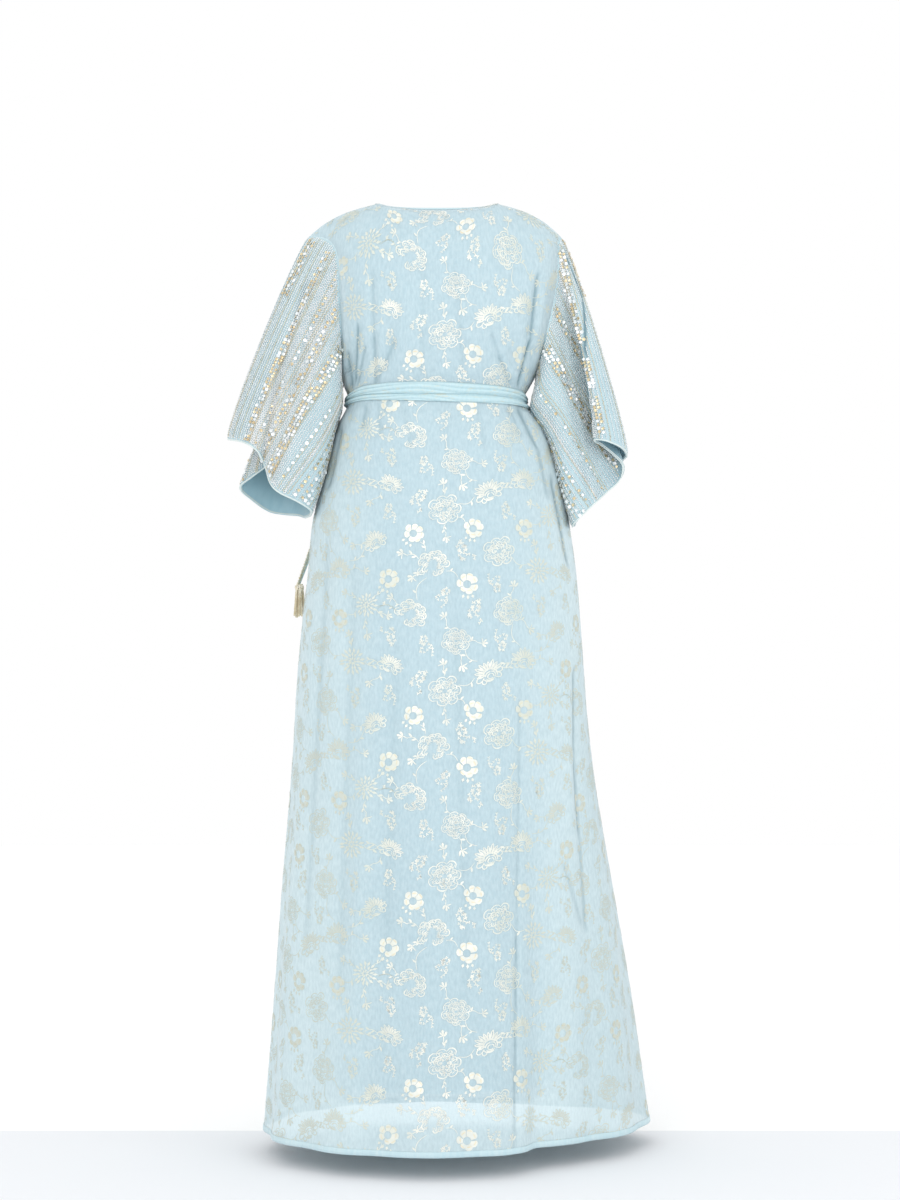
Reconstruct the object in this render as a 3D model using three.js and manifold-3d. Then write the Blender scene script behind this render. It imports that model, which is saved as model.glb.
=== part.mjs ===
// A jalabiya as it hangs on its wearer: a floor-length chiffon gown with wide bell sleeves, gathered by a wrap belt.
// Millimetres, +Z up, the back faces +Y and the wearer's left is +X. The origin is the middle of the neck opening at
// the height of the shoulder seams.
import * as THREE from "three";
import { mergeVertices } from "three/addons/utils/BufferGeometryUtils.js";
import Module from "manifold-3d";

// ---------------------------------------------------------------------------------------------- driving sizes
const CLOTH = 2; // wall of the outer cloth
const LINING = 1.2; // wall of the linings
const SEAM = 0.3; // gap between pieces that meet at a seam
const NECK_HALF = 94; // half the width of the neck opening
const RIDGE = -4; // the shoulder seam lies a little forward of the middle
const SHOULDER_DROP = 52; // from the neck to the end of the shoulder seam,
const SHOULDER_LEAN = 0.46; // this share of it as a straight slope and the rest rounding over the end
const BACK_SCOOP = 17;
const FRONT_V = 150;
const UNDERARM = -272;
const BELT_TOP = -290;
const BELT_MIDDLE = -305;
const BELT_BOTTOM = -320;
const HEM = -1462;
const LINING_HEM = -1376;
const LINING_EASE = 9; // how far the lining hangs inside the cloth,
const LINING_PINCH = 6; // less under the belt,
const LINING_TAPER = -560; // and below the hips
const LINING_CUT = 0.78; // it narrows to this share of the skirt
const BELT_GAP = 0.6; // the belt's clearance over the cloth
const FACING_GAP = 0.7; // the neck facing keeps a little more than a seam's gap,
const CORNER_GAP = 1.5; // and more where the neckline turns at the shoulder seams
const FACING_WIDTH = 6;
const FACING_THICK = 2.6;
const TIE_WIDTH = 15;
const TIE_THICK = 2.6;
const DEG = Math.PI / 180;

// The body of the gown, level by level: half widths to the wearer's left and right, depths behind and before the
// middle, and how square the section is (2 is an ellipse).
const LEVELS = [
  { z: -120, left: 172, right: 198, back: 110, front: 108, square: 2.4 },
  { z: -200, left: 165, right: 186, back: 116, front: 132, square: 2.4 },
  { z: -240, left: 158, right: 171, back: 114, front: 131, square: 2.35 },
  { z: -272, left: 150, right: 152, back: 109, front: 123, square: 2.3 },
  { z: -290, left: 142, right: 140, back: 101, front: 115, square: 2.3 },
  { z: -305, left: 140, right: 137, back: 98, front: 112, square: 2.3 },
  { z: -320, left: 142, right: 140, back: 101, front: 115, square: 2.3 },
  { z: -357, left: 151, right: 163, back: 113, front: 121, square: 2.3 },
  { z: -420, left: 165, right: 182, back: 131, front: 130, square: 2.25 },
  { z: -468, left: 184, right: 190, back: 143, front: 136, square: 2.2 },
  { z: -510, left: 198, right: 196, back: 152, front: 141, square: 2.2 },
  { z: -580, left: 204, right: 211, back: 164, front: 150, square: 2.15 },
  { z: -650, left: 212, right: 223, back: 172, front: 158, square: 2.1 },
  { z: -744, left: 221, right: 232, back: 184, front: 168, square: 2.1 },
  { z: -878, left: 229, right: 243, back: 200, front: 186, square: 2.1 },
  { z: -1084, left: 246, right: 266, back: 220, front: 213, square: 2.1 },
  { z: -1261, left: 259, right: 282, back: 236, front: 240, square: 2.1 },
  { z: -1462, left: 275, right: 292, back: 250, front: 265, square: 2.1 },
];

// The armhole seam seen from behind: how far out it lies at each level.
const ARMHOLE = [
  { z: -120, left: 154, right: 189 },
  { z: -170, left: 152, right: 180 },
  { z: -213, left: 150, right: 170 },
  { z: -245, left: 150, right: 161 },
  { z: -272, left: 150, right: 152 },
];

// Where each panel's yoke starts, the depth at which it meets the neck, and how steeply it arrives there.
const YOKES = {
  back: { face: 1, z: -120, neckDepth: 60, neckDrop: BACK_SCOOP, curve: 2.3, steep: 58 },
  front: { face: -1, z: -200, neckDepth: -118, neckDrop: FRONT_V, curve: 1.12, steep: 24 },
};
const SHOULDERS = { left: 203, right: 195 };
const NECK_SHARE = 0.5; // the part of a panel's top edge that is neckline

// Broad swings of the skirt round the stepping leg, turned from the back's middle towards the wearer's left.
const SWINGS = [
  { turn: -50, spread: 21, depth: -42, from: -760, to: HEM },
  { turn: -112, spread: 25, depth: 66, from: -800, to: HEM },
];

// Soft folds that fall from the belt to the hem.
const SKIRT_FOLDS = [
  { turn: -42, spread: 6, depth: -11, from: -800, to: HEM },
  { turn: -68, spread: 6, depth: -10, from: -640, to: HEM },
  { turn: -14, spread: 8, depth: -6, from: -980, to: HEM },
  { turn: 22, spread: 8, depth: -6, from: -900, to: HEM },
  { turn: 50, spread: 8, depth: -9, from: -760, to: HEM },
  { turn: 78, spread: 7, depth: -9, from: -620, to: HEM },
  { turn: 108, spread: 8, depth: -9, from: -700, to: HEM },
  { turn: 136, spread: 8, depth: -11, from: -560, to: HEM },
  { turn: 164, spread: 8, depth: -9, from: -760, to: HEM },
  { turn: -166, spread: 8, depth: -11, from: -640, to: HEM },
  { turn: -140, spread: 8, depth: -10, from: -560, to: HEM },
  { turn: -92, spread: 6, depth: -7, from: -700, to: HEM },
];

// Gathers above the belt: place across the panel (-1 the right edge, 1 the left), width, depth and upper end.
const GATHERS = {
  back: [
    { at: -0.86, width: 0.07, depth: -4.5, top: -110 },
    { at: -0.7, width: 0.05, depth: -5, top: -200 },
    { at: -0.52, width: 0.05, depth: -3.5, top: -225 },
    { at: 0.5, width: 0.06, depth: -4, top: -165 },
    { at: 0.68, width: 0.05, depth: -4, top: -215 },
    { at: 0.86, width: 0.06, depth: -5.5, top: -205 },
  ],
  front: [
    { at: -0.8, width: 0.07, depth: -5, top: -205 },
    { at: -0.55, width: 0.07, depth: -4, top: -215 },
    { at: -0.25, width: 0.07, depth: -3, top: -225 },
    { at: 0.25, width: 0.07, depth: -3, top: -225 },
    { at: 0.55, width: 0.07, depth: -4, top: -215 },
    { at: 0.8, width: 0.07, depth: -5, top: -205 },
  ],
};

// Sleeve hems: `at` runs from the shoulder (0) down the back to the underarm (1) and up the front to 2.
const LEFT_CUFF = [
  { at: 0.0, out: 331, y: 2, z: -373 },
  { at: 0.16, out: 301, y: 44, z: -381 },
  { at: 0.28, out: 280, y: 55, z: -396 },
  { at: 0.38, out: 269, y: 56, z: -420 },
  { at: 0.48, out: 261, y: 67, z: -444 },
  { at: 0.62, out: 247, y: 78, z: -459 },
  { at: 0.78, out: 219, y: 78, z: -473 },
  { at: 0.92, out: 197, y: 66, z: -487 },
  { at: 1.0, out: 198, y: 42, z: -494 },
  { at: 1.1, out: 207, y: 8, z: -497 },
  { at: 1.2, out: 211, y: -30, z: -496 },
  { at: 1.32, out: 222, y: -64, z: -492 },
  { at: 1.46, out: 248, y: -82, z: -489 },
  { at: 1.6, out: 274, y: -84, z: -483 },
  { at: 1.74, out: 299, y: -68, z: -460 },
  { at: 1.87, out: 312, y: -42, z: -424 },
];
const RIGHT_CUFF = [
  { at: 0.0, out: 299, y: 16, z: -399 },
  { at: 0.08, out: 288, y: 60, z: -389 },
  { at: 0.16, out: 261, y: 79, z: -379 },
  { at: 0.22, out: 244, y: 66, z: -378 },
  { at: 0.28, out: 258, y: 52, z: -386 },
  { at: 0.34, out: 276, y: 42, z: -400 },
  { at: 0.4, out: 284, y: 27, z: -414 },
  { at: 0.46, out: 279, y: 15, z: -437 },
  { at: 0.56, out: 266, y: 31, z: -459 },
  { at: 0.72, out: 243, y: 60, z: -479 },
  { at: 0.9, out: 214, y: 62, z: -507 },
  { at: 1.0, out: 212, y: 38, z: -513 },
  { at: 1.1, out: 218, y: 4, z: -514 },
  { at: 1.2, out: 221, y: -32, z: -510 },
  { at: 1.32, out: 232, y: -64, z: -502 },
  { at: 1.46, out: 254, y: -82, z: -491 },
  { at: 1.6, out: 275, y: -86, z: -474 },
  { at: 1.76, out: 295, y: -66, z: -446 },
  { at: 1.89, out: 303, y: -34, z: -418 },
];

// Each sleeve rounds out over the shoulder by its crown and hangs in below the underarm by its sag.
const SLEEVES = {
  left: { sign: 1, cuff: LEFT_CUFF, crown: 10, sag: 10 },
  right: { sign: -1, cuff: RIGHT_CUFF, crown: 11, sag: 6 },
};

// Free ends of the belt: the turn round the skirt at each level and how far they stand off it.
const LONG_END = [
  { z: -321.3, turn: 124.5, off: 14 },
  { z: -350, turn: 123, off: 5 },
  { z: -390, turn: 121.5, off: 3 },
  { z: -450, turn: 117, off: 3 },
  { z: -500, turn: 111, off: 4 },
  { z: -547, turn: 105, off: 9 },
  { z: -600, turn: 99, off: 16 },
];
const SHORT_END = [
  { z: -321.3, turn: 131.5, off: 14 },
  { z: -350, turn: 134, off: 5 },
  { z: -390, turn: 135, off: 3 },
  { z: -450, turn: 136, off: 4 },
  { z: -545, turn: 137, off: 14 },
];

// How finely the pieces are divided.
const GRID = {
  back: { side: 8, neck: 10, yoke: 8, chest: 7 },
  front: { side: 7, neck: 8, yoke: 6, chest: 6 },
  lining_back: { side: 4, neck: 10, yoke: 4, chest: 3 },
  lining_front: { side: 4, neck: 8, yoke: 4, chest: 3 },
  sleeve: 9,
};
const STEP = 1e-3; // for slopes taken by small differences

// ---------------------------------------------------------------------------------------------- number helpers
const clamp = (value, low, high) => Math.min(high, Math.max(low, value));
const mix = (a, b, share) => a + (b - a) * share;
const smooth = (value) => {
  const s = clamp(value, 0, 1);
  return s * s * (3 - 2 * s);
};

// A smooth curve through the rows of a table, read at `place` of its `key` column.
function curveOf(rows, key, column, place) {
  const value = (i) => rows[clamp(i, 0, rows.length - 1)][column];
  const where = (i) => rows[clamp(i, 0, rows.length - 1)][key];
  const rising = where(rows.length - 1) > where(0);
  let i = 0;
  while (i < rows.length - 2 && (rising ? place > where(i + 1) : place < where(i + 1))) i += 1;
  const span = where(i + 1) - where(i);
  const slope = (k) => (value(k + 1) - value(k - 1)) / (where(k + 1) - where(k - 1));
  const s = clamp((place - where(i)) / span, 0, 1);
  return hermite(value(i), value(i + 1), slope(i) * span, slope(i + 1) * span, s);
}

function hermite(from, to, slopeFrom, slopeTo, s) {
  const s2 = s * s;
  const s3 = s2 * s;
  const start = (2 * s3 - 3 * s2 + 1) * from + (s3 - 2 * s2 + s) * slopeFrom;
  return start + (3 * s2 - 2 * s3) * to + (s3 - s2) * slopeTo;
}

// The same for a table that closes on itself at `at` = 2.
function loopOf(rows, column, place) {
  const turns = 2;
  const count = rows.length;
  const value = (i) => rows[(i + count) % count][column];
  const where = (i) => rows[(i + count) % count].at + turns * Math.floor(i / count);
  let i = 0;
  while (i < count - 1 && place >= where(i + 1)) i += 1;
  const span = where(i + 1) - where(i);
  const slope = (k) => (value(k + 1) - value(k - 1)) / (where(k + 1) - where(k - 1));
  return hermite(value(i), value(i + 1), slope(i) * span, slope(i + 1) * span, (place - where(i)) / span);
}

// ---------------------------------------------------------------------------------------------- the body's surface
function foldsAt(rows, z, turn) {
  let sum = 0;
  for (const fold of rows) {
    const away = ((turn - fold.turn + 540) % 360) - 180;
    const grown = clamp((z - fold.from) / (fold.to - fold.from), 0, 1);
    sum += fold.depth * grown ** 1.15 * Math.exp(-((away / fold.spread) ** 2));
  }
  return sum;
}

// Distance of the cloth from the middle at a level, for a turn in degrees from the back's middle.
function radius(z, turn, folded = true) {
  const across = curveOf(LEVELS, "z", turn > 0 ? "left" : "right", z);
  const deep = curveOf(LEVELS, "z", Math.abs(turn) < 90 ? "back" : "front", z);
  const square = curveOf(LEVELS, "z", "square", z);
  const sideways = Math.abs(Math.sin(turn * DEG)) / across;
  const lengthways = Math.abs(Math.cos(turn * DEG)) / deep;
  const plain = (sideways ** square + lengthways ** square) ** (-1 / square) + foldsAt(SWINGS, z, turn);
  return plain + (folded ? foldsAt(SKIRT_FOLDS, z, turn) : 0);
}

function bodyPoint(z, turn, folded = true) {
  const r = radius(z, turn, folded);
  return new THREE.Vector3(r * Math.sin(turn * DEG), r * Math.cos(turn * DEG), z);
}

// The turn at which the armhole seam stands, counted from the middle of the back or of the front.
function armholeTurn(face, side, z) {
  const out = curveOf(ARMHOLE, "z", side > 0 ? "left" : "right", z);
  let low = 20;
  let high = 90;
  for (let k = 0; k < 40; k += 1) {
    const middle = (low + high) / 2;
    const turn = face > 0 ? side * middle : side * (180 - middle);
    if (Math.abs(bodyPoint(z, turn, false).x) < out) low = middle;
    else high = middle;
  }
  return (low + high) / 2;
}

// A point of a panel at `u` across (-1 right, 1 left) and a level below its yoke.
function lowerPoint(panel, u, z, folded) {
  const { face } = YOKES[panel];
  const reach = z > UNDERARM ? armholeTurn(face, Math.sign(u) || 1, z) : 90;
  const fromMiddle = u * reach;
  const turn = face > 0 ? fromMiddle : Math.sign(u || 1) * 180 - fromMiddle;
  const point = bodyPoint(z, turn, folded);
  if (!folded || z < BELT_TOP) return point;
  let gather = 0;
  for (const row of GATHERS[panel]) {
    const grown = smooth((row.top - z) / 60) * smooth((z - BELT_TOP) / 46);
    gather += row.depth * grown * Math.exp(-(((u - row.at) / row.width) ** 2));
  }
  const outward = new THREE.Vector3(point.x, point.y, 0).normalize();
  return point.addScaledVector(outward, gather * (1 - Math.abs(u) ** 12));
}

// The top edge of a panel: the neckline, then the shoulder seam to its end.
function topPoint(panel, u) {
  const yoke = YOKES[panel];
  const side = u < 0 ? "right" : "left";
  const sign = u < 0 ? -1 : 1;
  const off = Math.abs(u);
  if (off <= NECK_SHARE) {
    const s = off / NECK_SHARE;
    const drop = 1 - s ** yoke.curve;
    const forward = yoke.face > 0 ? drop : drop ** 0.62;
    return new THREE.Vector3(
      sign * NECK_HALF * s,
      mix(RIDGE + (yoke.face * SEAM) / 2, yoke.neckDepth, forward),
      -yoke.neckDrop * drop,
    );
  }
  const s = (off - NECK_SHARE) / (1 - NECK_SHARE);
  return new THREE.Vector3(
    sign * mix(NECK_HALF, SHOULDERS[side], s),
    RIDGE + (yoke.face * SEAM) / 2,
    -SHOULDER_DROP * mix(s ** 3, s, SHOULDER_LEAN),
  );
}

// A point of the yoke: `rise` 0 at its foot, 1 at the top edge. It rolls over from upright to level.
function yokePoint(panel, u, rise, folded) {
  const yoke = YOKES[panel];
  const foot = lowerPoint(panel, u, yoke.z, folded);
  const top = topPoint(panel, u);
  const steep = mix(yoke.steep, 90, smooth(Math.abs(u) / NECK_SHARE)) * DEG;
  const along = rise * steep;
  const over = (Math.cos(along) - Math.cos(steep)) / (1 - Math.cos(steep));
  const up = Math.sin(along) / Math.sin(steep);
  const outwards = rise ** mix(1.2, 2.6, Math.abs(u) ** 3);
  return new THREE.Vector3(mix(foot.x, top.x, outwards), mix(top.y, foot.y, over), mix(foot.z, top.z, up));
}

// The levels at which the skirt is divided, from just under the armhole to `end`.
const skirtLevels = (end) => [...LEVELS.map((row) => row.z).filter((z) => z < UNDERARM && z > end + 30), end];
const bodiceRows = (rows) => rows.yoke + rows.chest;
const panelRows = (rows, end) => bodiceRows(rows) + skirtLevels(end).length;

// A panel's surface, from its top edge (row 0) down: the yoke, the chest to the underarm, and the skirt to `end`.
function panelPoint(panel, u, row, rows, end, folded = true) {
  if (row <= rows.yoke) return yokePoint(panel, u, 1 - row / rows.yoke, folded);
  const chest = (row - rows.yoke) / rows.chest;
  if (chest <= 1) return lowerPoint(panel, u, mix(YOKES[panel].z, UNDERARM, chest), folded);
  return lowerPoint(panel, u, skirtLevels(end)[row - bodiceRows(rows) - 1], folded);
}

// Outward normal of a surface given as a function of two numbers, from small differences.
function normalOf(surface, a, b, limits, face) {
  const step = STEP * 20;
  const alongA = surface(Math.min(a + step, limits.a[1]), b).sub(surface(Math.max(a - step, limits.a[0]), b));
  const alongB = surface(a, Math.min(b + step, limits.b[1])).sub(surface(a, Math.max(b - step, limits.b[0])));
  return alongA.cross(alongB).multiplyScalar(face).normalize();
}

const ANYWHERE = { a: [-Infinity, Infinity], b: [-Infinity, Infinity] };
const bodyNormal = (z, turn, folded) => normalOf((t, level) => bodyPoint(level, t, folded), turn, z, ANYWHERE, -1);

// Outward normal of a panel. Below the underarm both panels take it from the whole body, so that they agree at the
// side seams, and along the shoulder seam it has no tilt forward or back.
function panelNormal(panel, u, row, rows, end, folded) {
  const point = panelPoint(panel, u, row, rows, end, folded);
  if (row > bodiceRows(rows)) return bodyNormal(point.z, Math.atan2(point.x, point.y) / DEG, folded);
  const surface = (a, b) => panelPoint(panel, a, b, rows, end, folded);
  const limits = { a: [-1, 1], b: [0, bodiceRows(rows)] };
  const normal = normalOf(surface, u, row, limits, YOKES[panel].face);
  return row === 0 && Math.abs(u) > NECK_SHARE - STEP ? normal.setY(0).normalize() : normal;
}

// ---------------------------------------------------------------------------------------------- solids
// A closed wall between an outer and an inner grid of points; `wrapped` closes each row on itself.
function wallGeometry(outer, inner, wrapped) {
  const rows = outer.length;
  const columns = outer[0].length;
  const points = [...outer.flat(), ...inner.flat()];
  const size = rows * columns;
  const index = [];
  const quad = (a, b, c, d) => index.push(a, b, c, a, c, d);
  const last = wrapped ? columns : columns - 1;
  for (let j = 0; j < rows - 1; j += 1) {
    for (let i = 0; i < last; i += 1) {
      const a = j * columns + i;
      const b = j * columns + ((i + 1) % columns);
      quad(a, a + columns, b + columns, b);
      quad(size + a, size + b, size + b + columns, size + a + columns);
    }
  }
  for (let i = 0; i < last; i += 1) {
    const next = (i + 1) % columns;
    const foot = (rows - 1) * columns;
    quad(i, next, size + next, size + i);
    quad(foot + next, foot + i, size + foot + i, size + foot + next);
  }
  for (let j = 0; !wrapped && j < rows - 1; j += 1) {
    const a = j * columns;
    const b = a + columns - 1;
    quad(a + columns, a, size + a, size + a + columns);
    quad(b, b + columns, size + b + columns, size + b);
  }
  return indexedGeometry(points, index);
}

function indexedGeometry(points, index) {
  const geometry = new THREE.BufferGeometry();
  geometry.setAttribute("position", new THREE.Float32BufferAttribute(points.flatMap((p) => [p.x, p.y, p.z]), 3));
  geometry.setIndex(index);
  geometry.computeVertexNormals();
  return geometry;
}

// Turns a wall the right way out when its rows run the other way round.
function facingOut(geometry) {
  const position = geometry.getAttribute("position");
  const index = geometry.getIndex().array;
  const [a, b, c] = [new THREE.Vector3(), new THREE.Vector3(), new THREE.Vector3()];
  let volume = 0;
  for (let i = 0; i < index.length; i += 3) {
    a.fromBufferAttribute(position, index[i]);
    b.fromBufferAttribute(position, index[i + 1]);
    c.fromBufferAttribute(position, index[i + 2]);
    volume += a.dot(b.cross(c));
  }
  if (volume < 0) geometry.index.array.reverse();
  geometry.computeVertexNormals();
  return geometry;
}

// ---------------------------------------------------------------------------------------------- front and back
// Places across a panel: the sides from the neck point out, and the neckline between them.
function acrossPlaces({ side, neck }) {
  const out = Array.from({ length: side }, (_, k) => mix(1, NECK_SHARE, k / side));
  const between = Array.from({ length: neck + 1 }, (_, k) => mix(-NECK_SHARE, NECK_SHARE, k / neck));
  return [...out.map((u) => -u), ...between, ...out.reverse()];
}

// Outer points of a panel with their normals, drawn in a little from both side edges.
function panelGrid(panel, rows, end, folded, inset) {
  const grid = [];
  for (let row = 0; row <= panelRows(rows, end); row += 1) {
    const line = acrossPlaces(rows).map((u) => ({
      point: panelPoint(panel, u, row, rows, end, folded),
      normal: panelNormal(panel, u, row, rows, end, folded),
    }));
    drawIn(line[0], line[1], inset);
    drawIn(line[line.length - 1], line[line.length - 2], inset);
    grid.push(line);
  }
  return grid;
}

function drawIn(edge, neighbour, inset) {
  const inward = neighbour.point.clone().sub(edge.point).normalize();
  edge.point.addScaledVector(inward, inset);
}

const offsetRow = (line, depth) => line.map(({ point, normal }) => point.clone().addScaledVector(normal, -depth));

function bodyPanel(panel) {
  const grid = panelGrid(panel, GRID[panel], HEM, true, SEAM * 0.7);
  shareArmhole(panel, grid);
  return facingOut(wallGeometry(grid.map((line) => offsetRow(line, 0)), grid.map((line) => offsetRow(line, CLOTH))));
}

// The lining hangs a little inside the outer cloth and is cut narrower below the hips.
function liningPanel(panel) {
  const grid = panelGrid(panel, GRID[`lining_${panel}`], LINING_HEM, false, 1.5);
  const yoke = GRID[`lining_${panel}`].yoke;
  const hang = (line, row, extra) =>
    line.map(({ point, normal }) => {
      const pinch = LINING_PINCH * Math.exp(-(((point.z - BELT_MIDDLE) / 22) ** 2));
      const clear = smooth((1.6 * row) / yoke) * LINING_EASE - pinch;
      const hung = point.clone().addScaledVector(normal, -(CLOTH + 3 * SEAM + Math.max(0, clear) + extra));
      const cut = mix(1, LINING_CUT, smooth((LINING_TAPER - point.z) / (LINING_TAPER - HEM)));
      return new THREE.Vector3(hung.x * cut, hung.y * cut, hung.z);
    });
  return facingOut(
    wallGeometry(
      grid.map((line, row) => hang(line, row, 0)),
      grid.map((line, row) => hang(line, row, LINING)),
    ),
  );
}

// ---------------------------------------------------------------------------------------------- sleeves
// The armhole seam as the two panels' edges, from the shoulder down the back and up the front.
function armholeLoop(side) {
  const loop = [];
  const sign = SLEEVES[side].sign;
  for (const panel of ["back", "front"]) {
    const rows = GRID[panel];
    const count = rows.yoke + rows.chest;
    const share = panel === "back" ? 0.44 : 0.5;
    for (let row = 0; row < count; row += 1) {
      const k = panel === "back" ? row : count - row;
      const down = k <= rows.yoke ? (k / rows.yoke) * share : mix(share, 1, (k - rows.yoke) / rows.chest);
      loop.push({
        at: panel === "back" ? down : 2 - down,
        point: panelPoint(panel, sign, k, rows, HEM),
        normal: panelNormal(panel, sign, k, rows, HEM, true),
      });
    }
  }
  return loop;
}

// A point of the sleeve `down` its length (0 armhole, 1 hem). It takes the hem's depth early on, so that the deep
// pleat behind the arm opens without its layers crossing.
function sleevePoint(side, start, down) {
  const { sign, cuff, crown, sag } = SLEEVES[side];
  const hem = new THREE.Vector3(
    sign * loopOf(cuff, "out", start.at),
    loopOf(cuff, "y", start.at),
    loopOf(cuff, "z", start.at),
  );
  const point = start.point.clone().lerp(hem, down);
  point.y = mix(start.point.y, hem.y, down ** 0.6);
  const fromTop = Math.min(start.at, 2 - start.at);
  const bow = 4 * down * (1 - down);
  const swell = crown * Math.sqrt(bow) * Math.exp(-((fromTop / 0.3) ** 2));
  point.x += sign * (swell * 0.93 - sag * bow * Math.exp(-(((1 - fromTop) / 0.35) ** 2)));
  point.z += swell * 0.37;
  return point;
}

function sleeveGrid(side, downs) {
  const loop = armholeLoop(side);
  const { sign } = SLEEVES[side];
  const place = (i, down) => sleevePoint(side, loop[(i + loop.length) % loop.length], clamp(down, 0, 1));
  return downs.map((down) =>
    loop.map((start, i) => {
      const around = place(i + 1, down).sub(place(i - 1, down));
      const along = place(i, down + 0.02).sub(place(i, down - 0.02));
      return { point: place(i, down), normal: around.cross(along).multiplyScalar(-sign).normalize() };
    }),
  );
}

// At the armhole both walls end on the same mitre where they run on from each other; at the underarm, where the
// sleeve folds back down along the body, each keeps its own.
function mitre(bodyNormal, sleeveNormal) {
  const turned = bodyNormal.dot(sleeveNormal);
  return turned > 0.25 ? bodyNormal.clone().add(sleeveNormal).normalize() : null;
}

function shareArmhole(panel, grid) {
  const rows = GRID[panel];
  for (const side of ["left", "right"]) {
    const ring = sleeveGrid(side, [0])[0];
    const loop = armholeLoop(side);
    const backCount = GRID.back.yoke + GRID.back.chest;
    for (let row = 0; row < rows.yoke + rows.chest; row += 1) {
      const i = panel === "back" ? row : (loop.length - row) % loop.length;
      if (i === backCount) continue;
      const shared = mitre(loop[i].normal, ring[i].normal);
      const edge = side === "left" ? grid[row].length - 1 : 0;
      if (shared) grid[row][edge].normal = shared;
    }
  }
}

const sleeveDowns = [...Array.from({ length: GRID.sleeve }, (_, k) => k / GRID.sleeve), 0.985, 1];

function sleeve(side) {
  const grid = sleeveGrid(side, sleeveDowns);
  const loop = armholeLoop(side);
  grid[0].forEach((start, i) => {
    const shared = mitre(loop[i].normal, start.normal);
    if (shared) start.normal = shared;
    drawIn(start, grid[1][i], SEAM * 0.7);
  });
  return facingOut(
    wallGeometry(grid.map((line) => offsetRow(line, 0)), grid.map((line) => offsetRow(line, CLOTH)), true),
  );
}

function sleeveLining(side) {
  const grid = sleeveGrid(side, sleeveDowns.slice(1, -1));
  const under = CLOTH + 0.95;
  return facingOut(
    wallGeometry(
      grid.map((line) => offsetRow(line, under)),
      grid.map((line) => offsetRow(line, under + LINING)),
      true,
    ),
  );
}

// ---------------------------------------------------------------------------------------------- neck facing
// The two necklines as one loop, with the direction that runs on over the edge and the outward normal.
function neckLoop() {
  const loop = [];
  for (const panel of ["back", "front"]) {
    const rows = GRID[panel];
    for (let k = 0; k < rows.neck; k += 1) {
      const u = mix(NECK_SHARE, -NECK_SHARE, k / rows.neck) * YOKES[panel].face;
      loop.push({
        point: topPoint(panel, u),
        normal: panelNormal(panel, u, 0, rows, HEM, true),
        gap: k === 0 ? CORNER_GAP : FACING_GAP,
      });
    }
  }
  return loop;
}

function neckFacing() {
  const loop = neckLoop();
  const count = loop.length;
  const rings = loop.map(({ point, normal, gap }, i) => {
    const along = loop[(i + 1) % count].point.clone().sub(loop[(i + count - 1) % count].point).normalize();
    const over = normal.clone().cross(along).normalize();
    const put = (outward, up) => point.clone().addScaledVector(normal, outward).addScaledVector(over, up);
    const outer = SEAM;
    const inner = SEAM - FACING_THICK;
    return [put(outer, gap), put(outer, gap + FACING_WIDTH), put(inner, gap + FACING_WIDTH), put(inner, gap)];
  });
  const index = [];
  const sides = 4;
  for (let i = 0; i < count; i += 1) {
    for (let k = 0; k < sides; k += 1) {
      const a = i * sides + k;
      const b = i * sides + ((k + 1) % sides);
      const c = ((i + 1) % count) * sides + k;
      const d = ((i + 1) % count) * sides + ((k + 1) % sides);
      index.push(a, b, d, a, d, c);
    }
  }
  return facingOut(indexedGeometry(rings.flat(), index));
}

// ---------------------------------------------------------------------------------------------- belt
// The turns of the two panels' columns, so that the belt lies on their faces.
const beltTurns = () => {
  const back = acrossPlaces(GRID.back).map((u) => u * 90);
  const front = acrossPlaces(GRID.front).slice(1, -1).map((u) => (u > 0 ? 180 - u * 90 : -180 - u * 90));
  return [...back, ...front.reverse()];
};

// One turn of the folded belt, a rounded band lying on the cloth between two levels.
function beltTurn(top, bottom) {
  const bands = [
    { down: 0, thick: 2 },
    { down: 0.5, thick: 5 },
    { down: 1, thick: 2 },
  ];
  const outer = [];
  const inner = [];
  for (const { down, thick } of bands) {
    const ring = beltTurns().map((turn) => ({
      point: bodyPoint(top, turn, false).lerp(bodyPoint(bottom, turn, false), down),
      normal: bodyNormal(mix(top, bottom, down), turn, false).setZ(0).normalize(),
    }));
    outer.push(offsetRow(ring, -(BELT_GAP + thick)));
    inner.push(offsetRow(ring, -BELT_GAP));
  }
  return facingOut(wallGeometry(outer, inner, true));
}

const KNOT = { turn: 128, z: -306, width: 34, height: 30, depth: 20, off: 7.2 };

// Right-handed axes at a place on the body: along the belt, outwards, and up.
function axesAt(z, turn) {
  const here = bodyPoint(z, turn, false);
  const along = bodyPoint(z, turn + 0.5, false).sub(bodyPoint(z, turn - 0.5, false)).setZ(0).normalize();
  const outward = new THREE.Vector3(along.y, -along.x, 0);
  if (outward.dot(here) < 0) outward.negate();
  return { here, along, outward };
}

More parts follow.
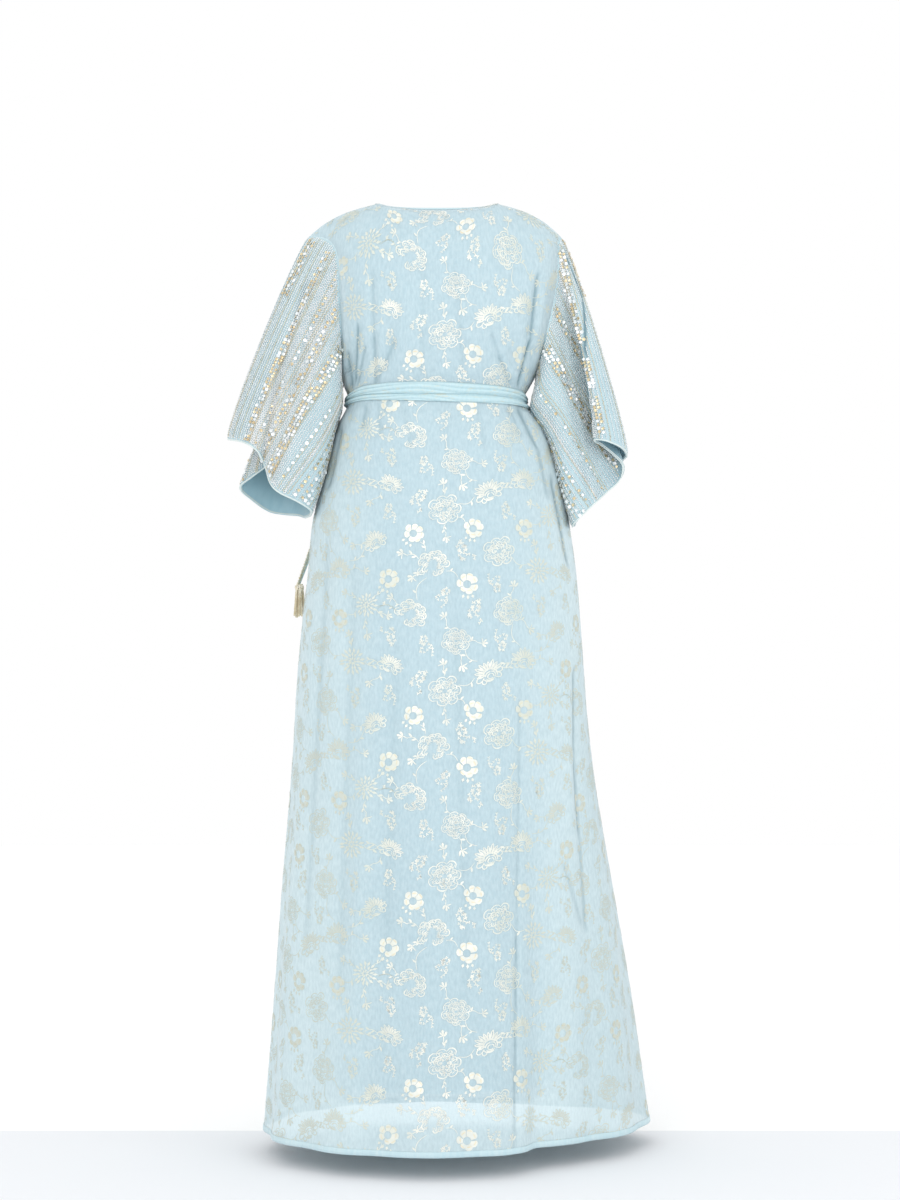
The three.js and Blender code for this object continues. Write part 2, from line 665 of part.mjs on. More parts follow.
function knot() {
  const { here, along, outward } = axesAt(KNOT.z, KNOT.turn);
  const centre = here.clone().addScaledVector(outward, KNOT.off + KNOT.depth / 2);
  const ball = new THREE.SphereGeometry(1, 14, 10);
  ball.deleteAttribute("normal");
  ball.deleteAttribute("uv");
  const geometry = mergeVertices(ball);
  const position = geometry.getAttribute("position");
  const square = 3.2;
  for (let i = 0; i < position.count; i += 1) {
    const p = new THREE.Vector3().fromBufferAttribute(position, i);
    const size = (Math.abs(p.x) ** square + Math.abs(p.y) ** square + Math.abs(p.z) ** square) ** (-1 / square);
    const crease = 1 - 0.1 * Math.exp(-(((p.x + p.z * 0.6) / 0.22) ** 2)) * clamp(p.y * 2, 0, 1);
    const put = centre
      .clone()
      .addScaledVector(along, (p.x * size * KNOT.width) / 2)
      .addScaledVector(outward, ((p.y * size * KNOT.depth) / 2) * crease)
      .add(new THREE.Vector3(0, 0, (p.z * size * KNOT.height) / 2));
    position.setXYZ(i, put.x, put.y, put.z);
  }
  return facingOut(geometry);
}

// A free end of the belt: a flat folded strip down the skirt.
function endPoint(rows, z) {
  const turn = curveOf(rows, "z", "turn", z);
  const { here, along, outward } = axesAt(z, turn);
  return { here: here.addScaledVector(outward, curveOf(rows, "z", "off", z)), along, outward };
}

function tieEnd(rows) {
  const steps = 14;
  const outer = [];
  const inner = [];
  for (let j = 0; j <= steps; j += 1) {
    const z = mix(rows[0].z, rows[rows.length - 1].z, j / steps);
    const { here, along, outward } = endPoint(rows, z);
    const at = (side, out) =>
      here.clone().addScaledVector(along, (side * TIE_WIDTH) / 2).addScaledVector(outward, out);
    outer.push([at(-1, TIE_THICK * 0.6), at(0, TIE_THICK), at(1, TIE_THICK * 0.6)]);
    inner.push([at(-1, 0), at(0, 0), at(1, 0)]);
  }
  return facingOut(wallGeometry(outer, inner, false));
}

// ---------------------------------------------------------------------------------------------- beaded tassels
const TASSEL = { head: 6.5, headHeight: 12, strands: 16, sides: 3, length: 42, spread: 9, thick: 1.8 };
const wasm = await Module();
wasm.setup();

function toSolid(geometry) {
  const plain = geometry.clone();
  plain.deleteAttribute("normal");
  plain.deleteAttribute("uv");
  const merged = mergeVertices(plain, 1e-4);
  return new wasm.Manifold(
    new wasm.Mesh({
      numProp: 3,
      vertProperties: merged.getAttribute("position").array,
      triVerts: new Uint32Array(merged.getIndex().array),
    }),
  );
}

function fromSolid(solid) {
  const mesh = solid.getMesh();
  const geometry = new THREE.BufferGeometry();
  geometry.setAttribute("position", new THREE.Float32BufferAttribute(mesh.vertProperties, 3));
  geometry.setIndex(Array.from(mesh.triVerts));
  geometry.computeVertexNormals();
  return geometry;
}

// One strand of beads, a thin stick from inside the head down to its tip.
function strand(ring, angle) {
  const root = new THREE.Vector3(Math.cos(angle) * ring * 3.6, Math.sin(angle) * ring * 3.6, -TASSEL.headHeight * 0.7);
  const tip = new THREE.Vector3(
    Math.cos(angle) * ring * TASSEL.spread,
    Math.sin(angle) * ring * TASSEL.spread,
    -TASSEL.headHeight - TASSEL.length * (1 - 0.08 * Math.abs(Math.sin(angle * 2.3))),
  );
  const stick = new THREE.CylinderGeometry(TASSEL.thick / 2, TASSEL.thick / 2, root.distanceTo(tip), TASSEL.sides, 1);
  const turn = new THREE.Quaternion().setFromUnitVectors(
    new THREE.Vector3(0, -1, 0),
    tip.clone().sub(root).normalize(),
  );
  return stick.applyQuaternion(turn).translate(...root.clone().add(tip).multiplyScalar(0.5));
}

// The tassel hangs from the origin: a small round head with the strands fused into it.
function tassel() {
  const profile = [[0, -0.4], [3, -0.4], [TASSEL.head, -4], [TASSEL.head, -8], [4.6, -TASSEL.headHeight], [0, -12.6]];
  const head = new THREE.LatheGeometry(profile.map(([r, z]) => new THREE.Vector2(r, z)).reverse(), 10);
  head.rotateX(Math.PI / 2);
  let solid = toSolid(head);
  for (let k = 0; k < TASSEL.strands; k += 1) {
    const ring = k % 3 === 0 ? 0.42 : 1;
    solid = solid.add(toSolid(strand(ring, (k / TASSEL.strands) * 2 * Math.PI)));
  }
  return fromSolid(solid);
}

// ---------------------------------------------------------------------------------------------- the garment
const finish = (color, roughness, metalness = 0) => new THREE.MeshStandardMaterial({ color, roughness, metalness });
const CHIFFON = finish(0xc3e0ec, 0.6);
const SEQUINNED = finish(0xb9cdd3, 0.45, 0.2);
const SATIN = finish(0xa9d3e3, 0.5);
const BELT_CLOTH = finish(0xb5d8e6, 0.6);
const BEADS = finish(0xe6dcc2, 0.35, 0.3);

const gown = new THREE.Group();
function add(name, geometry, material, position) {
  const mesh = new THREE.Mesh(geometry, material);
  mesh.name = name;
  if (position) mesh.position.copy(position);
  gown.add(mesh);
}

add("back", bodyPanel("back"), CHIFFON);
add("front", bodyPanel("front"), CHIFFON);
add("lining_back", liningPanel("back"), SATIN);
add("lining_front", liningPanel("front"), SATIN);
for (const side of Object.keys(SLEEVES)) {
  add(`sleeve_${side}`, sleeve(side), SEQUINNED);
  add(`sleeve_lining_${side}`, sleeveLining(side), SATIN);
}
add("neck_facing", neckFacing(), CHIFFON);
add("belt_upper", beltTurn(BELT_TOP, BELT_MIDDLE + SEAM / 2), BELT_CLOTH);
add("belt_lower", beltTurn(BELT_MIDDLE - SEAM / 2, BELT_BOTTOM), BELT_CLOTH);
add("belt_knot", knot(), BELT_CLOTH);
for (const [name, rows] of Object.entries({ long: LONG_END, short: SHORT_END })) {
  add(`tie_end_${name}`, tieEnd(rows), BELT_CLOTH);
  const foot = endPoint(rows, rows[rows.length - 1].z);
  add(`tassel_${name}`, tassel(), BEADS, foot.here.addScaledVector(foot.outward, TIE_THICK / 2));
}

export default gown;
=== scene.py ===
import bpy
import numpy as np
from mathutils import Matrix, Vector


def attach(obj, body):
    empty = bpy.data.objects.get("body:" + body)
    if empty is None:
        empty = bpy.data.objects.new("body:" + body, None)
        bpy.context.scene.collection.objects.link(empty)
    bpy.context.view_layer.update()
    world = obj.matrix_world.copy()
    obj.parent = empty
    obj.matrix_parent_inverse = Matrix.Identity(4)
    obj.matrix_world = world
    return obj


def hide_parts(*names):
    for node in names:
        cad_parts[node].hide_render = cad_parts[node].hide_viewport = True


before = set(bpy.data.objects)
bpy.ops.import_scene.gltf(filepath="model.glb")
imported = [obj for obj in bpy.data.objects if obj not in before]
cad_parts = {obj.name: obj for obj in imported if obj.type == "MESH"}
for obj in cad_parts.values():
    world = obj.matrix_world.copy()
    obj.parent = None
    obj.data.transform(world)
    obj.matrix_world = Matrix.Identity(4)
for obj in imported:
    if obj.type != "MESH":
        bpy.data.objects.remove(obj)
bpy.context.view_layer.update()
MM = 0.001
RNG = np.random.default_rng(7)

# ---------- sizes of the gown
NECK_HALF = 94
RIDGE = -4  # where the shoulder seam lies, front to back
SHOULDER_DROP = 52
SHOULDER_LEAN = 0.46  # how straight the shoulder falls, from 0 to 1
BACK_SCOOP = 17
FRONT_V = 150
UNDERARM = -272
BELT_TOP, BELT_MIDDLE, BELT_BOTTOM = -290, -305, -320
HIP = -420
HEM = -1462
NECK_SHARE = 0.5  # share of a panel's top edge that is neckline
LINING_HEM = -1376
LINING_GAP = 2.9  # the least from the cloth in to its lining
LINING_EASE = 9  # how much further in it hangs
LINING_PINCH = 6  # and how much less of that under the belt
LINING_TAPER = -560  # below this it is cut narrower
LINING_CUT = 0.78  # down to this share of the cloth's width at the hem


def table(columns, *rows):
    """A table with named columns, as one array for each."""
    return {name: np.array([row[i] for row in rows], float) for i, name in enumerate(columns.split())}


# Half widths and depths of the body at each level, and how square the section is (2 is round).
LEVELS = table(
    "z left right back front square",
    (-120, 172, 198, 110, 108, 2.4),
    (-200, 165, 186, 116, 132, 2.4),
    (-240, 158, 171, 114, 131, 2.35),
    (-272, 152, 156, 109, 123, 2.3),
    (-290, 147, 146, 101, 115, 2.3),
    (-305, 141, 138, 98, 112, 2.3),
    (-320, 142, 140, 101, 115, 2.3),
    (-357, 160, 169, 113, 121, 2.3),
    (-420, 176, 192, 131, 130, 2.25),
    (-468, 189, 203, 143, 136, 2.2),
    (-510, 198, 209, 152, 141, 2.2),
    (-580, 204, 219, 164, 150, 2.15),
    (-650, 212, 225, 172, 158, 2.1),
    (-744, 221, 232, 184, 168, 2.1),
    (-878, 229, 243, 200, 186, 2.1),
    (-1084, 246, 266, 220, 213, 2.1),
    (-1261, 259, 282, 236, 240, 2.1),
    (-1462, 275, 292, 250, 265, 2.1),
)
# Half the width between the armholes.
ARMHOLE = table(
    "z left right",
    (-120, 154, 189),
    (-170, 152, 180),
    (-213, 150, 170),
    (-245, 151, 163),
    (-272, 152, 156),
)
# Above `z` a panel runs over to the shoulder seam, `steep` degrees of a turn at its middle.
YOKES = {
    "back": {"face": 1, "z": -120, "neck_depth": 60, "neck_drop": BACK_SCOOP, "curve": 2.3, "steep": 58},
    "front": {"face": -1, "z": -200, "neck_depth": -118, "neck_drop": FRONT_V, "curve": 1.12, "steep": 24},
}
SHOULDERS = {1: 203, -1: 195}  # the shoulder seams' ends, left and right
# Folds by their turn from the middle of the back: broad swings of the whole skirt, then narrow folds.
SWINGS = table("turn spread depth start", (-50, 21, -42, -760), (-112, 25, 66, -800))
SKIRT_FOLDS = table(
    "turn spread depth start",
    (-42, 6, -11, -800),
    (-68, 6, -10, -640),
    (-14, 8, -6, -980),
    (22, 8, -6, -900),
    (50, 8, -9, -760),
    (78, 7, -9, -620),
    (108, 8, -9, -700),
    (136, 8, -11, -560),
    (164, 8, -9, -760),
    (-166, 8, -11, -640),
    (-140, 8, -10, -560),
    (-92, 6, -7, -700),
)
# Gathers of each panel above the belt, by their place across it.
GATHERS = {
    "back": table(
        "at width depth top",
        (-0.86, 0.07, -4.5, -110),
        (-0.7, 0.05, -5, -200),
        (-0.52, 0.05, -3.5, -225),
        (0.5, 0.06, -4, -165),
        (0.68, 0.05, -4, -215),
        (0.86, 0.06, -5.5, -205),
    ),
    "front": table(
        "at width depth top",
        (-0.8, 0.07, -5, -205),
        (-0.55, 0.07, -4, -215),
        (-0.25, 0.07, -3, -225),
        (0.25, 0.07, -3, -225),
        (0.55, 0.07, -4, -215),
        (0.8, 0.07, -5, -205),
    ),
}
# The hems of the sleeves, by how far round: 0 on top, 1 under the arm, and up the front to 2.
LEFT_TOP = ((0.0, 331, 2, -373), (0.16, 301, 44, -381), (0.28, 280, 55, -396))
LEFT_UNDER = (
    (0.48, 261, 67, -444),
    (0.62, 247, 78, -459),
    (0.78, 219, 78, -473),
    (0.92, 197, 66, -487),
    (1.0, 198, 42, -494),
    (1.1, 207, 8, -497),
    (1.2, 211, -30, -496),
    (1.32, 222, -64, -492),
    (1.46, 248, -82, -489),
)
LEFT_CUFF = table(
    "at out y z",
    *LEFT_TOP,
    (0.38, 269, 56, -420),
    *LEFT_UNDER,
    (1.6, 274, -84, -483),
    (1.74, 299, -68, -460),
    (1.87, 312, -42, -424),
)
# Where the front of the left hem folds back on itself.
LEFT_TUCK = table(
    "at out y z",
    *LEFT_TOP,
    (0.38, 269, 52, -420),
    *LEFT_UNDER,
    (1.56, 272, -76, -484),
    (1.65, 297, -50, -467),
    (1.73, 314, -22, -448),
    (1.79, 292, -6, -431),
    (1.85, 269, 4, -413),
    (1.9, 274, 18, -400),
    (1.95, 303, 16, -378),
)
RIGHT_CUFF = table(
    "at out y z",
    (0.0, 299, 16, -399),
    (0.08, 288, 60, -389),
    (0.16, 261, 79, -379),
    (0.22, 244, 66, -378),
    (0.28, 258, 52, -386),
    (0.34, 276, 42, -400),
    (0.4, 291, 27, -416),
    (0.46, 288, 15, -437),
    (0.56, 266, 31, -458),
    (0.72, 243, 60, -479),
    (0.9, 214, 62, -507),
    (1.0, 212, 38, -512),
    (1.1, 216, 4, -508),
    (1.2, 218, -32, -500),
    (1.32, 228, -64, -488),
    (1.46, 244, -82, -473),
    (1.6, 260, -86, -453),
    (1.76, 280, -66, -429),
    (1.89, 292, -34, -408),
)
# Side, hem, the hem's lower folds, rise of the crown, sag and lean of the underarm in to the belt.
SLEEVES = {"left": (1, LEFT_CUFF, LEFT_TUCK, 10, 10, 6), "right": (-1, RIGHT_CUFF, RIGHT_CUFF, 9, 6, 19)}


# ---------- numbers and curves
def mix(a, b, share):
    """From a to b as the share goes from 0 to 1."""
    return a + (b - a) * share


def smooth(value):
    """A soft step from 0 to 1."""
    s = np.clip(value, 0, 1)
    return s * s * (3 - 2 * s)


def bump(value, width):
    """1 at zero, fading over the width."""
    return np.exp(-((value / width) ** 2))


def through(x, y, place):
    """A smooth curve through points with rising x, read at `place`."""
    slope = np.empty(len(y))
    slope[1:-1] = (y[2:] - y[:-2]) / (x[2:] - x[:-2])
    slope[0] = (y[1] - y[0]) / (x[1] - x[0])
    slope[-1] = (y[-1] - y[-2]) / (x[-1] - x[-2])
    i = np.clip(np.searchsorted(x, place, side="right") - 1, 0, len(x) - 2)
    span = x[i + 1] - x[i]
    s = np.clip((place - x[i]) / span, 0, 1)
    s2, s3 = s * s, s**3
    start = (2 * s3 - 3 * s2 + 1) * y[i] + (s3 - 2 * s2 + s) * slope[i] * span
    return start + (3 * s2 - 2 * s3) * y[i + 1] + (s3 - s2) * slope[i + 1] * span


def curve(rows, column, z):
    """A column of a table with falling levels, read at level z."""
    return through(-rows["z"], rows[column], -np.asarray(z, float))


def loop_curve(rows, column, place):
    """A column of a table that closes on itself after 2, read at `place`."""
    at, y = rows["at"], rows[column]
    x = np.concatenate([at[-2:] - 2, at, at[:2] + 2])
    return through(x, np.concatenate([y[-2:], y, y[:2]]), place)


def stack(*parts):
    """Parts of a point, or corners of a face, as the last axis of one array."""
    return np.stack(np.broadcast_arrays(*parts), axis=-1)


def unit(v):
    """Vectors made one long."""
    return v / np.maximum(np.linalg.norm(v, axis=-1, keepdims=True), 1e-9)


# ---------- the body's surface
GATHER_LENGTH, BELT_HOLD = 60, 46  # a gather deepens over the first, and goes over the second above the belt
HALVINGS = 30


def folds_at(rows, z, turn):
    """How far folds that deepen from their start to the hem push the cloth out."""
    total = 0
    for at, spread, depth, start in zip(rows["turn"], rows["spread"], rows["depth"], rows["start"]):
        away = (turn - at + 540) % 360 - 180
        total = total + depth * np.clip((z - start) / (HEM - start), 0, 1) ** 1.15 * bump(away, spread)
    return total


def radius(z, turn, folded=True):
    """From the gown's middle to its cloth, at a level and a turn in degrees."""
    z, turn = np.broadcast_arrays(np.asarray(z, float), np.asarray(turn, float))
    across = np.where(turn > 0, curve(LEVELS, "left", z), curve(LEVELS, "right", z))
    deep = np.where(np.abs(turn) < 90, curve(LEVELS, "back", z), curve(LEVELS, "front", z))
    square = curve(LEVELS, "square", z)
    a = np.radians(turn)
    plain = ((np.abs(np.sin(a)) / across) ** square + (np.abs(np.cos(a)) / deep) ** square) ** (-1 / square)
    plain = plain + folds_at(SWINGS, z, turn)
    return plain + folds_at(SKIRT_FOLDS, z, turn) if folded else plain


def body_point(z, turn, folded=True):
    r = radius(z, turn, folded)
    a = np.radians(turn)
    return stack(r * np.sin(a), r * np.cos(a), z)


def armhole_turn(face, side, z):
    """The turn at which the cloth reaches the armhole seam, found by halving."""
    out = np.where(side > 0, curve(ARMHOLE, "left", z), curve(ARMHOLE, "right", z))
    low, high = np.full(out.shape, 20.0), np.full(out.shape, 90.0)
    for _ in range(HALVINGS):
        middle = (low + high) / 2
        turn = side * middle if face > 0 else side * (180 - middle)
        inside = np.abs(body_point(z, turn, False)[..., 0]) < out
        low, high = np.where(inside, middle, low), np.where(inside, high, middle)
    return (low + high) / 2


def lower_point(panel, u, z, folded=True):
    """A point of a panel below its yoke, `u` across from -1 at the right edge to 1 at the left."""
    face = YOKES[panel]["face"]
    u, z = np.broadcast_arrays(np.asarray(u, float), np.asarray(z, float))
    side = np.where(u < 0, -1.0, 1.0)
    reach = np.where(z > UNDERARM, armhole_turn(face, side, z), 90.0)
    turn = u * reach if face > 0 else side * 180 - u * reach
    point = body_point(z, turn, folded)
    if not folded:
        return point
    gather = np.zeros(u.shape)
    rows = GATHERS[panel]
    for at, width, depth, top in zip(rows["at"], rows["width"], rows["depth"], rows["top"]):
        grown = smooth((top - z) / GATHER_LENGTH) * smooth((z - BELT_TOP) / BELT_HOLD)
        gather = gather + depth * grown * bump(u - at, width)
    outward = unit(point * np.array([1, 1, 0]))
    return point + outward * (gather * (1 - np.abs(u) ** 12))[..., None]


def top_point(panel, u):
    """The top edge of a panel: half of it is neckline, the rest shoulder seam."""
    yoke = YOKES[panel]
    sign = np.where(u < 0, -1.0, 1.0)
    off = np.abs(u)
    s = np.clip(off / NECK_SHARE, 0, 1)
    drop = 1 - s ** yoke["curve"]
    forward = drop if yoke["face"] > 0 else drop**0.62
    neck = stack(sign * NECK_HALF * s, mix(RIDGE, yoke["neck_depth"], forward), -yoke["neck_drop"] * drop)
    s = np.clip((off - NECK_SHARE) / (1 - NECK_SHARE), 0, 1)
    end = np.where(u < 0, SHOULDERS[-1], SHOULDERS[1])
    fall = -SHOULDER_DROP * mix(s**3, s, SHOULDER_LEAN)
    shoulder = stack(sign * mix(NECK_HALF, end, s), np.full(off.shape, float(RIDGE)), fall)
    return np.where((off <= NECK_SHARE)[..., None], neck, shoulder)


def yoke_point(panel, u, rise, folded=True):
    """A point of a panel's yoke, from its foot at rise 0 to its top edge at 1."""
    yoke = YOKES[panel]
    foot = lower_point(panel, u, yoke["z"], folded)
    top = top_point(panel, u)
    steep = np.radians(mix(yoke["steep"], 90, smooth(np.abs(u) / NECK_SHARE)))
    along = rise * steep
    over = (np.cos(along) - np.cos(steep)) / (1 - np.cos(steep))
    up = np.sin(along) / np.sin(steep)
    outwards = rise ** mix(1.2, 2.6, np.abs(u) ** 3)
    return stack(
        mix(foot[..., 0], top[..., 0], outwards),
        mix(top[..., 1], foot[..., 1], over),
        mix(foot[..., 2], top[..., 2], up),
    )


def panel_points(panel, across, yoke_rows, levels, folded=True):
    """Rows of points from the neck and shoulder seam down over `levels`."""
    u = across[None, :]
    rise = np.linspace(1, 0, yoke_rows)[:, None]
    top = yoke_point(panel, np.repeat(u, yoke_rows, 0), np.repeat(rise, len(across), 1), folded)
    below = np.repeat(levels[:, None], len(across), 1)
    lower = lower_point(panel, np.repeat(u, len(levels), 0), below, folded)
    return np.concatenate([top, lower])


def normals_of(points, face, wrapped=False):
    if wrapped:
        around = np.roll(points, -1, 1) - np.roll(points, 1, 1)
    else:
        around = np.gradient(points, axis=1)
    down = np.gradient(points, axis=0)
    return unit(np.cross(around, down) * face)


# ---------- sleeves
# Creases of the sleeves: (down, round) places along each, its push to the back, its width and its shade.
FOLD = ((0.02, 0.1), (0.11, 0.13), (0.21, 0.1), (0.3, 0.09), (0.43, 0.14), (0.54, 0.18))
SLEEVE_CREASES = {
    "left": (
        (((0.15, 0.13), (0.4, 0.19), (0.72, 0.25), (1.0, 0.345)), -7.0, 0.035, 0.3),
        (((0.3, 0.27), (0.6, 0.33), (1.0, 0.44)), 3.0, 0.05, 0),
        (((0.05, 0.66), (0.4, 0.62), (0.9, 0.6)), 2.5, 0.07, 0),
        (((0.1, 1.3), (0.5, 1.36), (1.0, 1.4)), -4.0, 0.06, 0.14),
    ),
    "right": (
        # The right sleeve's deep fold over its upper half: a shallow groove with a strong painted shade line
        # along it.
        (FOLD, -5.0, 0.024, 0.9),
        (((0.1, 0.62), (0.5, 0.66), (1.0, 0.74)), -3.0, 0.05, 0.1),
        (((0.2, 0.82), (0.6, 0.84), (1.0, 0.86)), 2.5, 0.05, 0),
        (((0.1, 1.32), (0.5, 1.38), (1.0, 1.42)), -4.0, 0.06, 0.14),
    ),
}


def along_crease(where, down, start, end):
    """Where a crease lies round the sleeve at each level, and how far it has opened there."""
    grown = smooth((down - where[0][0]) / start) * smooth((where[-1][0] + end - down) / end)
    return np.interp(down, *np.array(where).T), grown


def armhole_loop(side, count):
    """The armhole seam from the shoulder down the back and up the front, with the share of the way round."""
    sign = SLEEVES[side][0]
    at = np.linspace(0, 2, count, endpoint=False)
    points = np.zeros((count, 3))
    for panel, share in (("back", 0.44), ("front", 0.5)):
        down = np.where(at <= 1, at, 2 - at)
        chosen = at <= 1 if panel == "back" else at > 1
        u = np.full(count, float(sign))
        yoke = yoke_point(panel, u, np.clip(1 - down / share, 0, 1))
        z = mix(YOKES[panel]["z"], UNDERARM, np.clip((down - share) / (1 - share), 0, 1))
        lower = lower_point(panel, u, z)
        here = np.where((down <= share)[:, None], yoke, lower)
        points = np.where(chosen[:, None], here, points)
    return at, points


def sleeve_points(side, count, downs):
    """The sleeve's outside: from the armhole seam to its hem, with its crown, its sag and its creases."""
    sign, cuff, tuck, crown, sag, lean = SLEEVES[side]
    at, start = armhole_loop(side, count)
    hem, low = (
        stack(sign * loop_curve(rows, "out", at), loop_curve(rows, "y", at), loop_curve(rows, "z", at))
        for rows in (cuff, tuck)
    )
    d = np.asarray(downs, float)[:, None, None]
    points = mix(start[None], hem[None], d)
    points[..., 1] = mix(start[None, :, 1], hem[None, :, 1], d[..., 0] ** 0.6)
    points = points + (low - hem)[None] * smooth((d - 0.3) / 0.7)
    from_top = np.minimum(at, 2 - at)
    bow = np.clip(4 * d[..., 0] * (1 - d[..., 0]), 0, 1)
    swell = crown * np.sqrt(bow) * bump(from_top, 0.3)[None]
    points[..., 0] += sign * (swell * 0.93 - sag * bow * bump(1 - from_top, 0.35)[None])
    points[..., 0] -= sign * lean * bump(d[..., 0] - 0.24, 0.14) * bump(1 - from_top, 0.16)[None]
    for where, deep, wide, _ in SLEEVE_CREASES[side]:
        line, grown = along_crease(where, d[..., 0], 0.2, 0.12)
        points[..., 1] += deep * grown * bump(at[None] - line, wide)
    points[..., 2] += swell * 0.37
    return points


# ---------- meshes
def mesh_object(name, points, faces, material, uv=None, smooth_faces=True):
    """A mesh of all quads or all triangles from arrays, in millimetres."""
    points = np.asarray(points, float).reshape(-1, 3)
    faces = np.asarray(faces, np.int32)
    sides = faces.shape[1]
    mesh = bpy.data.meshes.new(name)
    mesh.vertices.add(len(points))
    mesh.vertices.foreach_set("co", (points * MM).astype(np.float32).ravel())
    mesh.loops.add(faces.size)
    mesh.loops.foreach_set("vertex_index", faces.ravel())
    mesh.polygons.add(len(faces))
    mesh.polygons.foreach_set("loop_start", np.arange(0, faces.size, sides, dtype=np.int32))
    mesh.polygons.foreach_set("loop_total", np.full(len(faces), sides, np.int32))
    mesh.polygons.foreach_set("use_smooth", np.full(len(faces), smooth_faces))
    if uv is not None:
        layer = mesh.uv_layers.new(name="cloth")
        layer.data.foreach_set("uv", np.asarray(uv, np.float32).reshape(-1, 2)[faces.ravel()].ravel())
    mesh.update()
    mesh.validate()
    mesh.materials.append(material)
    obj = bpy.data.objects.new(name, mesh)
    bpy.context.scene.collection.objects.link(obj)
    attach(obj, "root")
    return obj


def grid_faces(rows, columns, wrapped=False, flip=False):
    """The quads of a grid, closed on itself across its columns where it is wrapped."""
    last = columns if wrapped else columns - 1
    j, i = np.meshgrid(np.arange(rows - 1), np.arange(last), indexing="ij")
    a = j * columns + i
    b = j * columns + (i + 1) % columns
    quads = stack(a, b, b + columns, a + columns).reshape(-1, 4)
    return quads[:, ::-1] if flip else quads


def grid_object(name, points, material, uv=None, wrapped=False, flip=False):
    rows, columns = points.shape[:2]
    return mesh_object(name, points, grid_faces(rows, columns, wrapped, flip), material, uv)


def add_attribute(obj, name, values):
    layer = obj.data.attributes.new(name, "FLOAT", "POINT")
    layer.data.foreach_set("value", np.asarray(values, np.float32).ravel())


# ---------- materials
def linear(code):
    """Linear colour from a six-digit sRGB code."""
    parts = [int(code[i : i + 2], 16) / 255 for i in (0, 2, 4)]
    return tuple(c / 12.92 if c <= 0.04045 else ((c + 0.055) / 1.055) ** 2.4 for c in parts) + (1.0,)


class Shader:
    """A material under construction: short ways to add and join its nodes."""

    def __init__(self, name, roughness, metallic=0.0, sheen=0.0, specular=0.5):
        self.material = bpy.data.materials.new(name)
        self.material.use_nodes = True
        self.nodes = self.material.node_tree.nodes
        self.links = self.material.node_tree.links
        self.surface = self.nodes["Principled BSDF"]
        self.surface.inputs["Roughness"].default_value = roughness
        self.surface.inputs["Metallic"].default_value = metallic
        self.surface.inputs["Sheen Weight"].default_value = sheen
        self.surface.inputs["Specular IOR Level"].default_value = specular

    def add(self, kind, **values):
        node = self.nodes.new(kind)
        for key, value in values.items():
            if hasattr(node, key):
                setattr(node, key, value)
            else:
                node.inputs[key.replace("_", " ")].default_value = value
        return node

    def place(self, uv=False):
        return self.add("ShaderNodeTexCoord").outputs["UV" if uv else "Object"]

    def noise(self, scale, detail=3.0, uv=False, stretch=(1, 1, 1)):
        mapping = self.add("ShaderNodeMapping")
        mapping.inputs["Scale"].default_value = stretch
        self.links.new(self.place(uv), mapping.inputs["Vector"])
        node = self.add("ShaderNodeTexNoise", Scale=scale, Detail=detail)
        self.links.new(mapping.outputs["Vector"], node.inputs["Vector"])
        return node.outputs["Fac"]

    def attribute(self, name):
        return self.add("ShaderNodeAttribute", attribute_name=name).outputs["Fac"]

    def spread(self, value, low, high, to_low=0.0, to_high=1.0):
        node = self.add("ShaderNodeMapRange")
        ends = {"From Min": low, "From Max": high, "To Min": to_low, "To Max": to_high}
        for socket, number in ends.items():
            node.inputs[socket].default_value = number
        self.links.new(value, node.inputs["Value"])
        return node.outputs["Result"]

    def math(self, operation, a, b):
        node = self.add("ShaderNodeMath", operation=operation)
        for socket, value in zip(node.inputs, (a, b)):
            if isinstance(value, (int, float)):
                socket.default_value = value
            else:
                self.links.new(value, socket)
        return node.outputs[0]

    def blend(self, share, first, second):
        node = self.add("ShaderNodeMix", data_type="RGBA")
        self.links.new(share, node.inputs["Factor"])
        for socket, value in zip((node.inputs[6], node.inputs[7]), (first, second)):
            if isinstance(value, tuple):
                socket.default_value = value
            else:
                self.links.new(value, socket)
        return node.outputs[2]

    def colour(self, value):
        self.links.new(value, self.surface.inputs["Base Color"])

    def bump(self, height, strength, distance):
        node = self.add("ShaderNodeBump", Strength=strength, Distance=distance)
        self.links.new(height, node.inputs["Height"])
        self.links.new(node.outputs["Normal"], self.surface.inputs["Normal"])


DEEP_SHADE = "4A7482"
CRINKLE_LIGHT = "EAF3F4"
GRAIN_DEPTH = 0.0004
BACK_MIDDLE = 0.012  # metres from the frame's middle to the line down the back where the print's painted reflection is brightest


def shaded(s, tone):
    """The tone darkened towards a painted shade colour where attribute `shade` says so, mostly where the
    cloth folds in on itself.
    """
    return s.blend(s.attribute("shade"), tone, linear(DEEP_SHADE))


def chiffon_material(name, deep, milky, see_low, see_high):
    """Semi-sheer cloth: attribute `milk` says how far it stands off what is under it, so how pale it is."""
    s = Shader(name, roughness=0.62, sheen=0.2, specular=0.2)
    crinkle = s.noise(260.0, 2.0, uv=True, stretch=(1, 0.35, 1))
    cloud = s.noise(11.0, 2.0, uv=True, stretch=(1, 0.4, 1))
    milk = s.math("ADD", s.attribute("milk"), s.math("MULTIPLY", s.math("SUBTRACT", cloud, 0.5), 0.5))
    tone = s.blend(s.spread(milk, 0, 1), linear(deep), linear(milky))
    tone = s.blend(s.spread(crinkle, 0.35, 0.7, 0.0, 0.16), tone, linear(CRINKLE_LIGHT))
    s.colour(shaded(s, tone))
    solid = s.math("ADD", s.spread(milk, 0, 1, see_low, see_high), s.spread(crinkle, 0.3, 0.7, -0.05, 0.05))
    s.links.new(s.math("MAXIMUM", solid, s.attribute("shade")), s.surface.inputs["Alpha"])
    s.bump(crinkle, 0.14, GRAIN_DEPTH)
    return s.material


